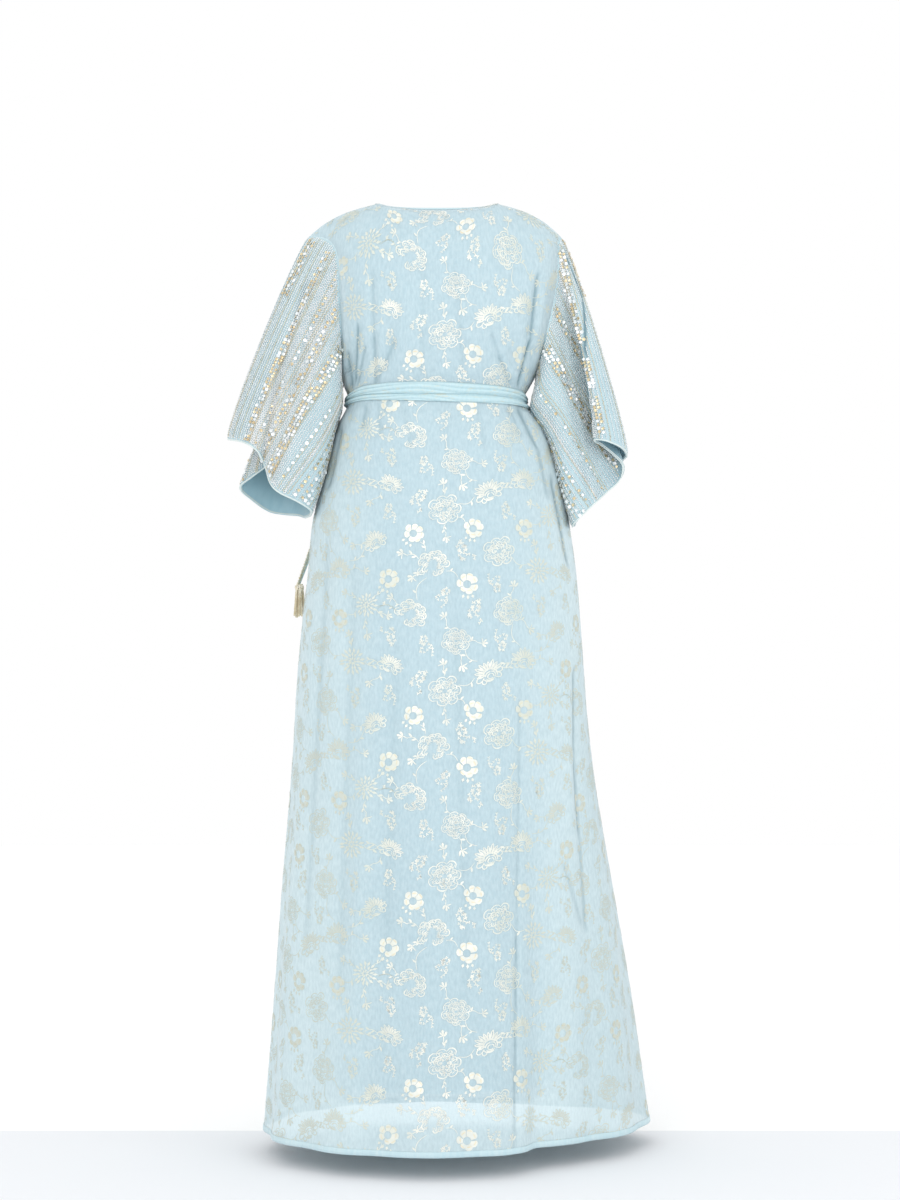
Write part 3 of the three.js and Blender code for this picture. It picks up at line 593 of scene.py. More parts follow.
def cloth_material(name, dark, light, roughness, grain=180.0, streak=None):
    """Plain woven cloth with a faint uneven grain, and streaks of a second colour where it has them."""
    s = Shader(name, roughness=roughness, sheen=0.2, specular=0.3)
    grain_value = s.noise(grain, 3.0, uv=True, stretch=(1, 0.3, 1))
    cloud = s.noise(9.0, 2.0)
    shade = s.math("ADD", s.math("MULTIPLY", grain_value, 0.6), s.math("MULTIPLY", cloud, 0.4))
    tone = s.blend(s.spread(shade, 0.35, 0.65), linear(dark), linear(light))
    if streak:
        streaks = s.noise(75.0, 3.0, stretch=(1, 1, 4))
        tone = s.blend(s.spread(streaks, 0.56, 0.72, 0.0, 0.7), tone, linear(streak))
    s.colour(shaded(s, tone))
    s.bump(grain_value, 0.3, GRAIN_DEPTH)
    return s.material


def foil_material(name, dark, light, roughness, metallic, side=None):
    """Foil or sequins, a little uneven; `side` is its colour away from the middle of the back, where its
    paler tone is painted reflection.
    """
    s = Shader(name, roughness=roughness, metallic=metallic, specular=0.6)
    tone = s.blend(s.spread(s.noise(60.0, 2.0), 0.35, 0.65), linear(dark), linear(light))
    if side:
        # Painted reflection: near the middle of the back the foil keeps its paler tone at full strength; away
        # from it, it turns to `side` and thins, in patches of wear and glare.
        axes = s.add("ShaderNodeSeparateXYZ")
        s.links.new(s.place(), axes.inputs[0])
        off = s.math("ABSOLUTE", s.math("ADD", axes.outputs[0], BACK_MIDDLE), 0)
        patchy_wear_and_glare = s.math("MULTIPLY", s.math("SUBTRACT", s.noise(22.0, 3.0), 0.5), 0.16)
        away = s.math("ADD", off, patchy_wear_and_glare)
        tone = s.blend(s.spread(away, 0.05, 0.13), tone, linear(side))
        s.links.new(s.spread(away, 0.08, 0.2, 1.0, 0.72), s.surface.inputs["Alpha"])
    s.colour(tone)
    return s.material


CHIFFON = chiffon_material("chiffon", "C9E0E8", "D0E4E9", 0.74, 0.88)
ROLLED = cloth_material("rolled_edge", "BAD6DE", "CADFE4", 0.6)
PIPED = cloth_material("cuff_edge", "D2E2E2", "E6ECE8", 0.55)
SATIN = cloth_material("satin_lining", "A9CEDA", "B7D8E2", 0.42, grain=120.0)
BELT = cloth_material("belt_cloth", "B9D8DF", "C9E1E6", 0.6, grain=220.0, streak="D2D6C6")
NET = cloth_material("sleeve_net", "B0CBD4", "C0D7DC", 0.55, grain=320.0)
IVORY = foil_material("ivory_foil", "DFE3DC", "F5F4EA", 0.5, 0.1, side="DDE2D6")
GOLD = foil_material("gold_foil", "E4DABC", "F4EBD2", 0.4, 0.2, side="DCDAC2")
SILVER = foil_material("silver_sequin", "E2E9EA", "FCFEFF", 0.22, 0.35)
STRAND = foil_material("silver_chain", "F2F7F7", "FFFFFF", 0.35, 0.05)
BEIGE = foil_material("gold_sequin", "CDB78E", "EBDDB8", 0.22, 0.55)
CHAIN = foil_material("beige_chain", "E6DBC2", "F6EDD8", 0.45, 0.1)
BEAD = foil_material("cream_bead", "DCCFAE", "F3EBD6", 0.3, 0.2)


# ---------- cloth of the gown
class Cloth:
    """A fine grid of points, rows down and columns across, that can be read by its flat measures."""

    STEP = 3.0
    HALF_WIDTH = 460

    def __init__(self, points, face):
        self.points = points
        self.normals = normals_of(points, face)
        rows, columns = points.shape[:2]
        widths = np.linalg.norm(np.diff(points, axis=1), axis=2)
        run = np.concatenate([np.zeros((rows, 1)), np.cumsum(widths, axis=1)], axis=1)
        self.across = run - run[:, columns // 2][:, None]
        falls = np.linalg.norm(np.diff(points[:, columns // 2], axis=0), axis=1)
        self.down = np.concatenate([[0], np.cumsum(falls)])
        self.reach = np.arange(-self.HALF_WIDTH, self.HALF_WIDTH + 1, self.STEP)
        stacked = np.concatenate([points, self.normals], axis=2)
        self.even = np.stack(
            [[np.interp(self.reach, self.across[r], stacked[r, :, k]) for k in range(6)] for r in range(rows)]
        ).transpose(0, 2, 1)

    def at(self, s, v, lift=0.0):
        """Points at `s` across and `v` down the cloth, lifted off it, and whether they are on it at all."""
        row = np.clip(np.interp(v, self.down, np.arange(len(self.down))), 0, len(self.down) - 1.001)
        column = np.clip((s - self.reach[0]) / self.STEP, 0, len(self.reach) - 1.001)
        r, c = row.astype(int), column.astype(int)
        fr, fc = (row - r)[..., None], (column - c)[..., None]
        both = mix(
            mix(self.even[r, c], self.even[r, c + 1], fc),
            mix(self.even[r + 1, c], self.even[r + 1, c + 1], fc),
            fr,
        )
        low = mix(self.across[r, 0], self.across[r + 1, 0], fr[..., 0])
        high = mix(self.across[r, -1], self.across[r + 1, -1], fr[..., 0])
        on = (s > low + 2) & (s < high - 2) & (v > 3) & (v < self.down[-1] - 1)
        return both[..., :3] + unit(both[..., 3:]) * lift, on


# Creases of the back as seen from behind: from (x0, z0) to (x1, z1), width, push outwards and shade.
BACK_CREASES = table(
    "x0 z0 x1 z1 width push shade",
    (101, -118, 99, -212, 4.5, -2.2, 0.1),
    (99, -212, 97, -292, 4.5, -3.4, 0.2),
    (66, -225, 94, -288, 5, -2.2, 0.14),
    (86, -205, 91, -290, 6, 1.6, 0.0),
    (124, -196, 131, -290, 4, -3.0, 0.3),
    (141, -238, 135, -296, 3.5, -2.4, 0.3),
    (112, -232, 126, -292, 4, -2.2, 0.2),
    (20, -95, 24, -280, 9, -1.4, 0.04),
    (-28, -105, -40, -270, 9, -1.4, 0.05),
    (52, -120, 48, -250, 8, 1.2, 0.0),
    (-66, -120, -82, -262, 8, 1.3, 0.0),
    (-97, -250, -116, -292, 4, -2.6, 0.22),
    (-84, -212, -98, -256, 5, -1.8, 0.1),
    (-158, -118, -146, -220, 4, -3.2, 0.32),
    (-146, -220, -127, -293, 3.6, -3.8, 0.42),
    (-168, -132, -150, -232, 5, 2.2, 0.0),
    (-137, -222, -118, -290, 6, 2.4, 0.0),
    (112, -322, 118, -360, 5, -2.2, 0.16),
    (92, -323, 88, -372, 6, -1.6, 0.08),
    (52, -324, 40, -390, 8, -1.4, 0.05),
    (-10, -324, -16, -400, 9, -1.2, 0.03),
    (-62, -324, -74, -392, 8, -1.4, 0.05),
    (-126, -323, -158, -392, 5, -2.8, 0.26),
    (-112, -323, -132, -372, 5, -1.8, 0.12),
    (-158, -392, -172, -470, 6, -2.4, 0.14),
    (-178, -430, -206, -575, 4, -2.6, 0.3),
    (-148, -380, -186, -520, 5, 1.8, 0.0),
    (150, -350, 172, -455, 4, -2.6, 0.24),
    (-214, -730, -213, -870, 3, -2.6, 0.24),
    (-213, -870, -222, -995, 3, -2.8, 0.26),
    (-222, -995, -232, -1140, 4, -2.0, 0.16),
    (-203, -760, -205, -980, 5, 1.8, 0.0),
    (-196, -1030, -226, -1130, 5, -2.0, 0.12),
    (-128, -760, -122, -1110, 4, -1.8, 0.1),
    (-122, -1110, -118, -1461, 3.5, -2.4, 0.2),
    (62, -700, 78, -1180, 13, -2.0, 0.04),
    (128, -560, 150, -1240, 12, -2.4, 0.05),
    (-30, -640, -46, -1240, 13, -2.0, 0.04),
    (170, -520, 205, -1180, 9, -2.4, 0.08),
    (14, -820, 10, -1460, 12, 1.8, 0.0),
    (110, -860, 132, -1460, 11, 1.8, 0.0),
    (-84, -900, -88, -1460, 11, 1.6, 0.0),
)
# The same for the front, which the picture does not show.
FRONT_CREASES = table(
    "x0 z0 x1 z1 width push shade",
    (118, -206, 98, -290, 5, -2.6, 0.16),
    (76, -214, 64, -290, 6, -2.0, 0.1),
    (34, -226, 28, -290, 6, -1.6, 0.06),
    (-40, -222, -30, -290, 6, -1.8, 0.08),
    (-84, -210, -66, -290, 6, -2.2, 0.12),
    (-126, -204, -102, -290, 5, -2.8, 0.18),
    (112, -324, 134, -390, 5, -2.2, 0.14),
    (60, -324, 70, -400, 7, -1.6, 0.06),
    (-8, -324, -12, -410, 8, -1.4, 0.04),
    (-68, -324, -80, -396, 7, -1.6, 0.08),
    (-116, -324, -146, -394, 5, -2.4, 0.16),
    (48, -560, 66, -1240, 13, -2.2, 0.05),
    (-52, -620, -70, -1200, 12, -2.0, 0.05),
    (146, -600, 172, -1260, 10, -2.2, 0.06),
    (-150, -640, -182, -1280, 9, -2.4, 0.1),
    (-6, -760, 4, -1460, 12, 1.8, 0.0),
)


PUSH_GAIN, PUSH_WIDTH = 1.4, 1.4
SHADE_GAIN, SHADE_WIDTH = 2.0, 0.5


def creased(points, face, rows):
    """The points pushed in or out along creases, and how much painted shade each gets from them."""
    normals = normals_of(points, face)
    x, z = points[..., 0], points[..., 2]
    push, shade = np.zeros(x.shape), np.zeros(x.shape)
    for x0, z0, x1, z1, width, depth, dark in zip(*rows.values()):
        run_x, run_z = x1 - x0, z1 - z0
        along = ((x - x0) * run_x + (z - z0) * run_z) / (run_x**2 + run_z**2)
        near = np.clip(along, 0, 1)
        away = np.hypot(x - x0 - run_x * near, z - z0 - run_z * near)
        ends = smooth((along + 0.08) / 0.2) * smooth((1.08 - along) / 0.2)
        push += PUSH_GAIN * depth * ends * bump(away, width * PUSH_WIDTH)
        shade += SHADE_GAIN * dark * ends * bump(away, width * SHADE_WIDTH)
    return points + normals * push[..., None], np.clip(shade, 0, 0.75)


def levels_between(*stops):
    """Levels from each stop to the next, in steps of the size given with it."""
    out = []
    for (here, step), (there, _) in zip(stops, stops[1:]):
        out.append(np.linspace(here, there, max(2, int(abs(there - here) / step) + 1))[1:])
    return np.concatenate(out)


def body_cloth(panel, columns, yoke_rows, creases):
    """A gown panel's cloth, and how shaded each point of it is."""
    face = YOKES[panel]["face"]
    across = np.linspace(-1, 1, columns)
    start = YOKES[panel]["z"]
    levels = levels_between((start, 4.5), (BELT_TOP, 4), (HIP, 6.5), (HEM, 6.5))
    points, shade = creased(panel_points(panel, across, yoke_rows, levels), face, creases)
    x, z = points[..., 0], points[..., 2]
    # Painted shade at the sides of the waist, under the arms and low on the skirt's right side.
    waist = bump(z - BELT_MIDDLE, 42) * smooth((np.abs(across) - 0.8) / 0.2)
    under_arm = bump(z + 300, 75) * smooth((np.abs(across) - 0.93) / 0.07)
    far_side = smooth((-x - 180) / 60) * smooth((-z - 560) / 300)
    shade = shade + 0.25 * waist + 0.7 * under_arm + 0.1 * far_side
    return Cloth(points, face), np.clip(shade, 0, 0.85)


CLEAR_HALF, CLEAR_FADE = 75, 130  # half the width that lies on the lining, and how slowly it lifts off it


def milk_of(cloth, panel):
    """How milky the sheer cloth looks: clearest on its lining, palest at the sides and the hem."""
    x = np.abs(cloth.points[..., 0] + (BACK_MIDDLE / MM if panel == "back" else 0))
    z = cloth.points[..., 2]
    side = smooth((x - CLEAR_HALF) / CLEAR_FADE)
    skirt = smooth((BELT_BOTTOM - z) / 200)
    return np.clip(mix(0.3 * side, side, skirt) + 0.6 * smooth((LINING_HEM - z) / 20), 0, 1)


def flat_uv(cloth):
    return stack(cloth.across, cloth.down[:, None]) * MM


back, back_shade = body_cloth("back", 209, 32, BACK_CREASES)
front, front_shade = body_cloth("front", 141, 26, FRONT_CREASES)
gown_back = grid_object("gown_back", back.points, CHIFFON, flat_uv(back))
gown_front = grid_object("gown_front", front.points, CHIFFON, flat_uv(front), flip=True)
add_attribute(gown_back, "milk", milk_of(back, "back"))
add_attribute(gown_front, "milk", milk_of(front, "front"))
add_attribute(gown_back, "shade", back_shade)
add_attribute(gown_front, "shade", front_shade)


def lining_cloth(panel, columns, yoke_rows):
    """The lining hangs inside the cloth and is cut narrower below the hips."""
    face = YOKES[panel]["face"]
    across = np.linspace(-1, 1, columns)
    levels = levels_between((YOKES[panel]["z"], 8), (BELT_TOP, 7), (HIP, 9), (LINING_HEM, 9))
    points = panel_points(panel, across, yoke_rows, levels, folded=False)
    normals = normals_of(points, face)
    z = points[..., 2]
    clear = np.ones(len(points)) * LINING_EASE
    clear[:yoke_rows] *= smooth(1.6 * np.linspace(0, 1, yoke_rows))
    clear = clear[:, None] - LINING_PINCH * bump(z - BELT_MIDDLE, 22)
    hung = points - normals * (LINING_GAP + np.clip(clear, 0, None))[..., None]
    cut = mix(1, LINING_CUT, smooth((LINING_TAPER - z) / (LINING_TAPER - HEM)))
    hung[..., :2] *= cut[..., None]
    return Cloth(hung, face)


skin_back = lining_cloth("back", 91, 16)
skin_front = lining_cloth("front", 71, 16)
lining_back = grid_object("lining_skin_back", skin_back.points, SATIN, flat_uv(skin_back))
lining_front = grid_object("lining_skin_front", skin_front.points, SATIN, flat_uv(skin_front), flip=True)

# ---------- sleeves
SLEEVE_COLUMNS = 240
SLEEVE_DOWNS = np.linspace(0, 1, 71)
SLEEVE_LINING_GAP = 3.0
CAMERA = (-0.020, 4.800, -0.626)
# The right sleeve's deep fold: where round it to look for what lies behind the edge, how many columns the
# edge takes up at most, and how wide the painted shade line along its edge is.
FOLD_SEARCH = (0.12, 0.26)
FOLD_REACH = 12
FOLD_LINE = 2.4
CUFF_FOLD = {"left": 1.82, "right": 0.42}
# Shade inside a sleeve: deep in it, all over, and the place round it of its cuff's fold.
INSIDE = {"left": (0.55, 0.05, 1.94), "right": (0.75, 0.3, 0.34)}


def sleeve_places(points):
    """How far round and how far down a sleeve each of its points lies."""
    rows, columns = points.shape[:2]
    return np.linspace(0, 2, columns, endpoint=False)[None], np.linspace(0, 1, rows)[:, None]


def fold_edge(points):
    """How near each point lies to the edge of the right sleeve's deep fold, as the camera sees it."""
    columns = points.shape[1]
    seen = (points[..., 0] - CAMERA[0] / MM) * CAMERA[1] / (CAMERA[1] - MM * points[..., 1])
    first, last = (int(share * columns) for share in FOLD_SEARCH)
    behind = first + seen[:, first:last].argmin(axis=1)
    edge = np.array([row[:end].argmax() for row, end in zip(seen, behind)])[:, None]
    near = np.abs(np.arange(columns)[None] - edge) < FOLD_REACH
    return near * bump(seen - np.take_along_axis(seen, edge, axis=1), FOLD_LINE)


def sleeve_shade(side, points):
    """Painted shade where a sleeve's outside lies in a fold: under the arm, in the creases, along the right
    sleeve's deep fold and by its cuff's fold.
    """
    at, down = sleeve_places(points)
    shade = 0.75 * bump(1 - np.minimum(at, 2 - at), 0.035) * smooth((0.75 - down) / 0.3)
    for where, _, wide, dark in SLEEVE_CREASES[side]:
        line, grown = along_crease(where, down, 0.1, 0.1)
        shade = shade + dark * grown * bump(at - line, wide * 0.5)
    from_fold = at - CUFF_FOLD[side]
    if side == "right":
        shade = shade + 0.85 * fold_edge(points) * smooth((down - 0.3) / 0.2) * smooth((0.97 - down) / 0.1)
        shade = shade + 0.5 * bump(from_fold, 0.09) * smooth((down - 0.82) / 0.14)
    else:
        shade = shade + 0.3 * bump(from_fold, 0.06) * smooth((down - 0.6) / 0.3)
    return np.clip(shade, 0, 0.92)


def inside_shade(side, points):
    """Painted shade on a sleeve's inside: deep in it and by its cuff's fold."""
    at, down = sleeve_places(points)
    deep, everywhere, fold = INSIDE[side]
    by_fold = everywhere + 0.3 * bump(at - fold, 0.07)
    return np.clip(np.maximum(deep * smooth((1.0 - down) / 0.22), by_fold), 0, 0.85)


sleeve_skins = {}
for side, (sign, *_) in SLEEVES.items():
    outer = sleeve_points(side, SLEEVE_COLUMNS, SLEEVE_DOWNS)
    normals = normals_of(outer, -sign, wrapped=True)
    cloth_uv = stack(np.linspace(0, 0.6, SLEEVE_COLUMNS)[None], SLEEVE_DOWNS[:, None] * 0.4)
    dark = sleeve_shade(side, outer)
    sleeve_skins[side] = (outer, normals, dark)
    shell = grid_object(f"sleeve_cloth_{side}", outer, NET, cloth_uv, wrapped=True, flip=sign < 0)
    add_attribute(shell, "shade", dark)
    inside = (outer - normals * SLEEVE_LINING_GAP)[2::2, ::2]
    inner_uv = cloth_uv[2::2, ::2]
    inner = grid_object(f"sleeve_inside_{side}", inside, SATIN, inner_uv, wrapped=True, flip=sign > 0)
    add_attribute(inner, "shade", inside_shade(side, inside))
    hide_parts(f"sleeve_{side}")
    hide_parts(f"sleeve_lining_{side}")

for obj, node, slot in (
    (gown_back, "back", "chiffon"),
    (gown_front, "front", "chiffon"),
    (lining_back, "lining_back", "satin"),
    (lining_front, "lining_front", "satin"),
):
    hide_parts(node)


# ---------- edges and seams
def edging(name, points, normals, over, profile, material, wrapped=False):
    """A narrow strip along an edge: `profile` gives (out, over) offsets from its points, in order."""
    rows = np.stack([points + normals * out + over * up for out, up in profile])
    uv = stack(np.arange(len(points))[None] * 0.004, np.arange(len(profile))[:, None] * 0.002)
    return grid_object(name, rows, material, uv, wrapped=wrapped)


ROLL = ((0.5, 9.0), (1.3, 8.6), (1.5, 4.5), (1.4, 0.8), (0.4, -0.5), (-0.8, 0.6), (-0.9, 8.0))
for name, cloth in (("back", back), ("front", front)):
    foot = cloth.points[-1]
    upwards = unit(cloth.points[-3] - foot)
    roll = edging(f"hem_roll_{name}", foot, cloth.normals[-1], upwards, ROLL, ROLLED)

SEAM = ((0.0, -0.9), (0.4, -0.3), (0.4, 0.5), (0.0, 1.0))
NARROW = ((0.3, 2.2), (0.8, 1.9), (0.9, 0.4), (0.2, -0.3), (-2.4, 0.2), (-3.4, 1.4), (-3.3, 3.0))
for side, (outer, normals, _) in sleeve_skins.items():
    upwards = unit(outer[-3] - outer[-1])
    rim = edging(f"cuff_edge_{side}", outer[-1], normals[-1], upwards, NARROW, PIPED, wrapped=True)
    outwards = unit(outer[1] - outer[0])
    seam = edging(f"armhole_seam_{side}", outer[0], normals[0], outwards, SEAM, ROLLED, wrapped=True)


NECK_ROLL = ((0.1, 0.6), (0.5, 1.4), (0.6, 3.4), (0.5, 5), (-0.3, 6.2), (-1.8, 5.6), (-2.2, 1), (-1.6, -4))


def neck_edge():
    """The turned rim of the neckline, round both panels."""
    loops = []
    for cloth, way in ((back, 1), (front, -1)):
        u = np.linspace(-1, 1, cloth.points.shape[1])
        inside = np.where(np.abs(u) <= NECK_SHARE + 1e-6)[0][::way]
        upwards = unit(cloth.points[0] - cloth.points[1])
        loops.append((cloth.points[0, inside], cloth.normals[0, inside], upwards[inside]))
    points, normals, over = (np.concatenate([a, b[1:-1]]) for a, b in zip(*loops))
    for _ in range(2):
        normals, over = (unit(axis + np.roll(axis, 1, 0) + np.roll(axis, -1, 0)) for axis in (normals, over))
    return edging("neck_rim", points, normals, over, NECK_ROLL, ROLLED, wrapped=True)


neck_rim = neck_edge()
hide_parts("neck_facing")


# ---------- belt
# The belt's edges round the body, as the picture shows them at the back and level at the front.
BELT_EDGES = table(
    "turn top bottom",
    (-180, -290, -321),
    (-135, -291, -322),
    (-110, -297, -325),
    (-90, -305, -327),
    (-70, -298, -323),
    (-45, -292, -321),
    (0, -288, -319),
    (30, -288, -317),
    (45, -289.5, -316),
    (60, -293, -315.5),
    (75, -302, -318),
    (90, -308, -322),
    (104, -300, -322),
    (120, -292, -321),
    (180, -290, -321),
)


BELT_COLUMNS, BELT_ROWS = 420, 26
BELT_HEIGHT, BELT_SQUEEZE = 31, 16  # its full height, and how much less of it is as narrow as can be


def belt_pass(name, node, first, last, swell, folds, wander):
    """One wrap of the folded belt, from one share of its height to another, with slowly drifting folds."""
    turns = np.linspace(-180, 180, BELT_COLUMNS, endpoint=False)
    down = np.linspace(0, 1, BELT_ROWS)[:, None]
    top, bottom = (through(BELT_EDGES["turn"], BELT_EDGES[key], turns) for key in ("top", "bottom"))
    narrow = np.clip((BELT_HEIGHT - (top - bottom)) / BELT_SQUEEZE, 0, 1)
    a = np.radians(turns)
    drift = wander * (np.sin(2 * a + 0.87) + 0.5 * np.sin(5 * a + 0.17))
    split = 0.05 * np.sin(2.5 * a + 0.52)
    z = mix(top, bottom, mix(first + split * (first > 0), last + split * (last < 1), down))
    ridges = np.abs(np.sin(np.pi * (folds * down + drift + 0.25 * np.sin(3 * a) * down)))
    out = 0.5 + swell * np.sin(np.pi * down) ** 0.5 * (0.55 + 0.45 * ridges) * (1 + 0.2 * narrow)
    base = body_point(z, np.broadcast_to(turns, z.shape), False)
    outward = unit(base * np.array([1, 1, 0]))
    points = base + outward * out[..., None]
    uv = stack(turns[None] * 0.0025, down * 0.03)
    obj = grid_object(name, points, BELT, uv, wrapped=True)
    # Painted shade along the belt's edges and in the hollows between its folds.
    edges = bump(down, 0.09) + bump(1 - down, 0.09)
    add_attribute(obj, "shade", np.clip(0.34 * edges + 0.42 * bump(ridges, 0.22) * (0.4 + narrow), 0, 0.7))
    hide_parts(node)


belt_pass("belt_wrap_upper", "belt_upper", 0.0, 0.62, 5.2, 2.6, 0.35)
belt_pass("belt_wrap_lower", "belt_lower", 0.58, 1.0, 4.8, 1.6, 0.5)

# The free ends of the belt: their turn and how far they stand off the skirt, from the knot to the tassel.
LONG_END = table(
    "z turn off",
    (-321.3, 124.5, 14),
    (-350, 123, 5),
    (-390, 121.5, 3),
    (-450, 117, 3),
    (-500, 111, 4),
    (-547, 105, 9),
    (-600, 99, 16),
)
SHORT_END = table(
    "z turn off", (-321.3, 131.5, 14), (-350, 134, 5), (-390, 135, 3), (-450, 136, 4), (-545, 137, 14)
)
TIE_WIDTH = 15
KNOT = {"turn": 128, "z": -306, "width": 34, "height": 30, "depth": 20, "off": 7.2}


def axes_at(z, turn):
    """A point of the body's surface, the way along the belt there and the way outwards."""
    here = body_point(z, turn, False)
    along = unit((body_point(z, turn + 0.5, False) - body_point(z, turn - 0.5, False)) * np.array([1, 1, 0]))
    outward = np.cross(np.array([0, 0, 1.0]), along)
    outward = outward * np.sign(np.sum(outward * here, -1, keepdims=True))
    return here, along, outward


def knot():
    """The belt's knot: a soft square lump with the wrap's folds running over it."""
    here, along, outward = axes_at(KNOT["z"], KNOT["turn"])
    centre = here + outward * (KNOT["off"] + KNOT["depth"] / 2)
    a = np.linspace(0, 2 * np.pi, 48, endpoint=False)[None]
    b = np.linspace(0.02, np.pi - 0.02, 30)[:, None]
    x, y, z = np.cos(a) * np.sin(b), np.sin(a) * np.sin(b), np.cos(b) * np.ones_like(a)
    size = (np.abs(x) ** 3 + np.abs(y) ** 3 + np.abs(z) ** 3) ** (-1 / 3)
    folds = 1 - 0.09 * np.abs(np.sin(5 * (x + 0.5 * z))) - 0.12 * bump(x + 0.4 * z, 0.14) * (y > 0)
    points = (
        centre
        + along * (x * size * KNOT["width"] / 2 * folds)[..., None]
        + outward * (y * size * KNOT["depth"] / 2 * folds)[..., None]
        + np.array([0, 0, 1.0]) * (z * size * KNOT["height"] / 2)[..., None]
    )
    obj = grid_object("knot", points, BELT, stack(a * 0.01, b * 0.01), wrapped=True)
    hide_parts("belt_knot")


knot()


# ---------- beads
def scatter(name, shape, centres, along, out, sizes, material, smooth_faces=True):
    """Copies of a small shape, (points, triangles), set on their own axes, as one mesh."""
    base, faces = shape
    side = np.cross(out, along)
    sizes = np.broadcast_to(np.asarray(sizes, float).reshape(-1, 1), (len(centres), 1))
    spread = sum(base[None, :, k : k + 1] * axis[:, None] for k, axis in enumerate((along, side, out)))
    points = centres[:, None] + spread * sizes[:, None]
    index = faces[None] + (np.arange(len(centres)) * len(base))[:, None, None]
    return mesh_object(name, points, index.reshape(-1, 3), material, smooth_faces=smooth_faces)


def bead_shape(length, sides=5):
    """A bead: two points with a ring between them, drawn out to `length` times its width."""
    a = np.linspace(0, 2 * np.pi, sides, endpoint=False)
    rings = [stack(np.full(sides, x * length), np.cos(a), np.sin(a)) for x in (-0.55, 0.55)]
    points = np.concatenate([[[-length, 0, 0]], *rings, [[length, 0, 0]]]) * 0.5
    k = np.arange(sides)
    nxt = (k + 1) % sides
    one, two, last = 1 + k, 1 + sides + k, 2 * sides + 1
    faces = np.concatenate(
        [
            stack(0, 1 + nxt, one),
            stack(one, 1 + nxt, two),
            stack(1 + nxt, 1 + sides + nxt, two),
            stack(last, two, 1 + sides + nxt),
        ]
    )
    return points, faces


def sequin_shape():
    """A shallow eight-sided cup, seen from its open side."""
    k = np.arange(8)
    a = 2 * np.pi * k / 8
    points = np.concatenate([[[0, 0, 0.0]], stack(np.cos(a), np.sin(a), 0.16)]) * 0.5
    return points, stack(0, 1 + k, 1 + (k + 1) % 8)


BEAD_SHAPE, BUGLE, SEQUIN = bead_shape(1.0), bead_shape(2.4, 3), sequin_shape()


BEADED_FROM = -400  # the ribbons are beaded below this
BEADS_ABREAST, BEAD_ROW_STEP = 6, 2.5
STRINGS, STRING_BEADS, HEAD_BEADS = 16, 21, 11
STRING_TOP, STRING_TIP = (5.5, -8.0), (9.0, -53.0)  # off the tassel's middle, and below its foot
# The head's rings of beads: their level and radius.
HEAD_RINGS = ((-1.5, 4.2), (-4, 6.0), (-6.5, 6.3), (-9, 5.6))


def tie_ribbon(name, z, rows):
    """The pleated ribbon of a free end; its foot's place is handed back."""
    here, along, outward = axes_at(z, curve(rows, "turn", z))
    here = here + outward * curve(rows, "off", z)[:, None]
    c = np.linspace(-1, 1, 17)
    puff = 1.2 + 1.6 * (1 - np.abs(c) ** 3) + 0.5 * np.abs(np.sin(c * 4.4))
    across = along[:, None] * (c * TIE_WIDTH / 2)[None, :, None]
    ribbon = here[:, None] + across + outward[:, None] * puff[None, :, None]
    strip = grid_object(f"tie_ribbon_{name}", ribbon, BELT, stack(c[None] * 0.008, z[:, None] * MM))
    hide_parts(f"tie_end_{name}")
    return here[-1] + outward[-1] * 1.3


def tie_crust(name, z, rows):
    """The beads over a ribbon's lower part."""
    rank = np.arange(int((z[0] - z[-1] - 20) / BEAD_ROW_STEP))
    level = np.repeat(z[-1] + BEAD_ROW_STEP * rank, BEADS_ABREAST)
    across = np.tile(np.linspace(-0.86, 0.86, BEADS_ABREAST), len(rank))
    across = (across + np.repeat((rank % 2) * 0.14, BEADS_ABREAST))[level < BEADED_FROM]
    level = (level + RNG.uniform(-0.4, 0.4, len(level)))[level < BEADED_FROM]
    spot, side, off = axes_at(level, curve(rows, "turn", level))
    spot = spot + off * (curve(rows, "off", level) + 3.2)[:, None] + side * (across * TIE_WIDTH / 2)[:, None]
    crust = scatter(f"tie_beads_{name}", BEAD_SHAPE, spot, side, off, RNG.uniform(1.9, 2.7, len(spot)), BEAD)


def tassel(name, foot):
    """A tassel of bead strings, every third one inside the others, under a beaded head."""
    beads = []
    for k in range(STRINGS):
        inwards = 0.42 if k % 3 == 0 else 1.0
        a = 2 * np.pi * k / STRINGS
        (top_r, top_z), (tip_r, tip_z) = STRING_TOP, STRING_TIP
        r = mix(top_r, tip_r, np.linspace(0, 1, STRING_BEADS)) * inwards
        level = mix(top_z, tip_z + 3.5 * abs(np.sin(a * 2.3)), np.linspace(0, 1, STRING_BEADS))
        beads.append(foot + stack(np.cos(a) * r, np.sin(a) * r, level))
    a = np.linspace(0, 2 * np.pi, HEAD_BEADS, endpoint=False)
    for level, r in HEAD_RINGS:
        beads.append(foot + stack(np.cos(a) * r, np.sin(a) * r, np.full(HEAD_BEADS, level)))
    spots = np.concatenate(beads)
    up, side = (np.tile(axis, (len(spots), 1)) for axis in ([0.0, 0, 1], [1.0, 0, 0]))
    sizes = RNG.uniform(2.2, 3.0, len(spots))
    tuft = scatter(f"tassel_beads_{name}", BEAD_SHAPE, spots, up, side, sizes, BEAD)
    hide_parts(f"tassel_{name}")


for name, rows in (("long", LONG_END), ("short", SHORT_END)):
    z = np.linspace(rows["z"][0], rows["z"][-1], 90)
    foot = tie_ribbon(name, z, rows)
    tie_crust(name, z, rows)
    tassel(name, foot)


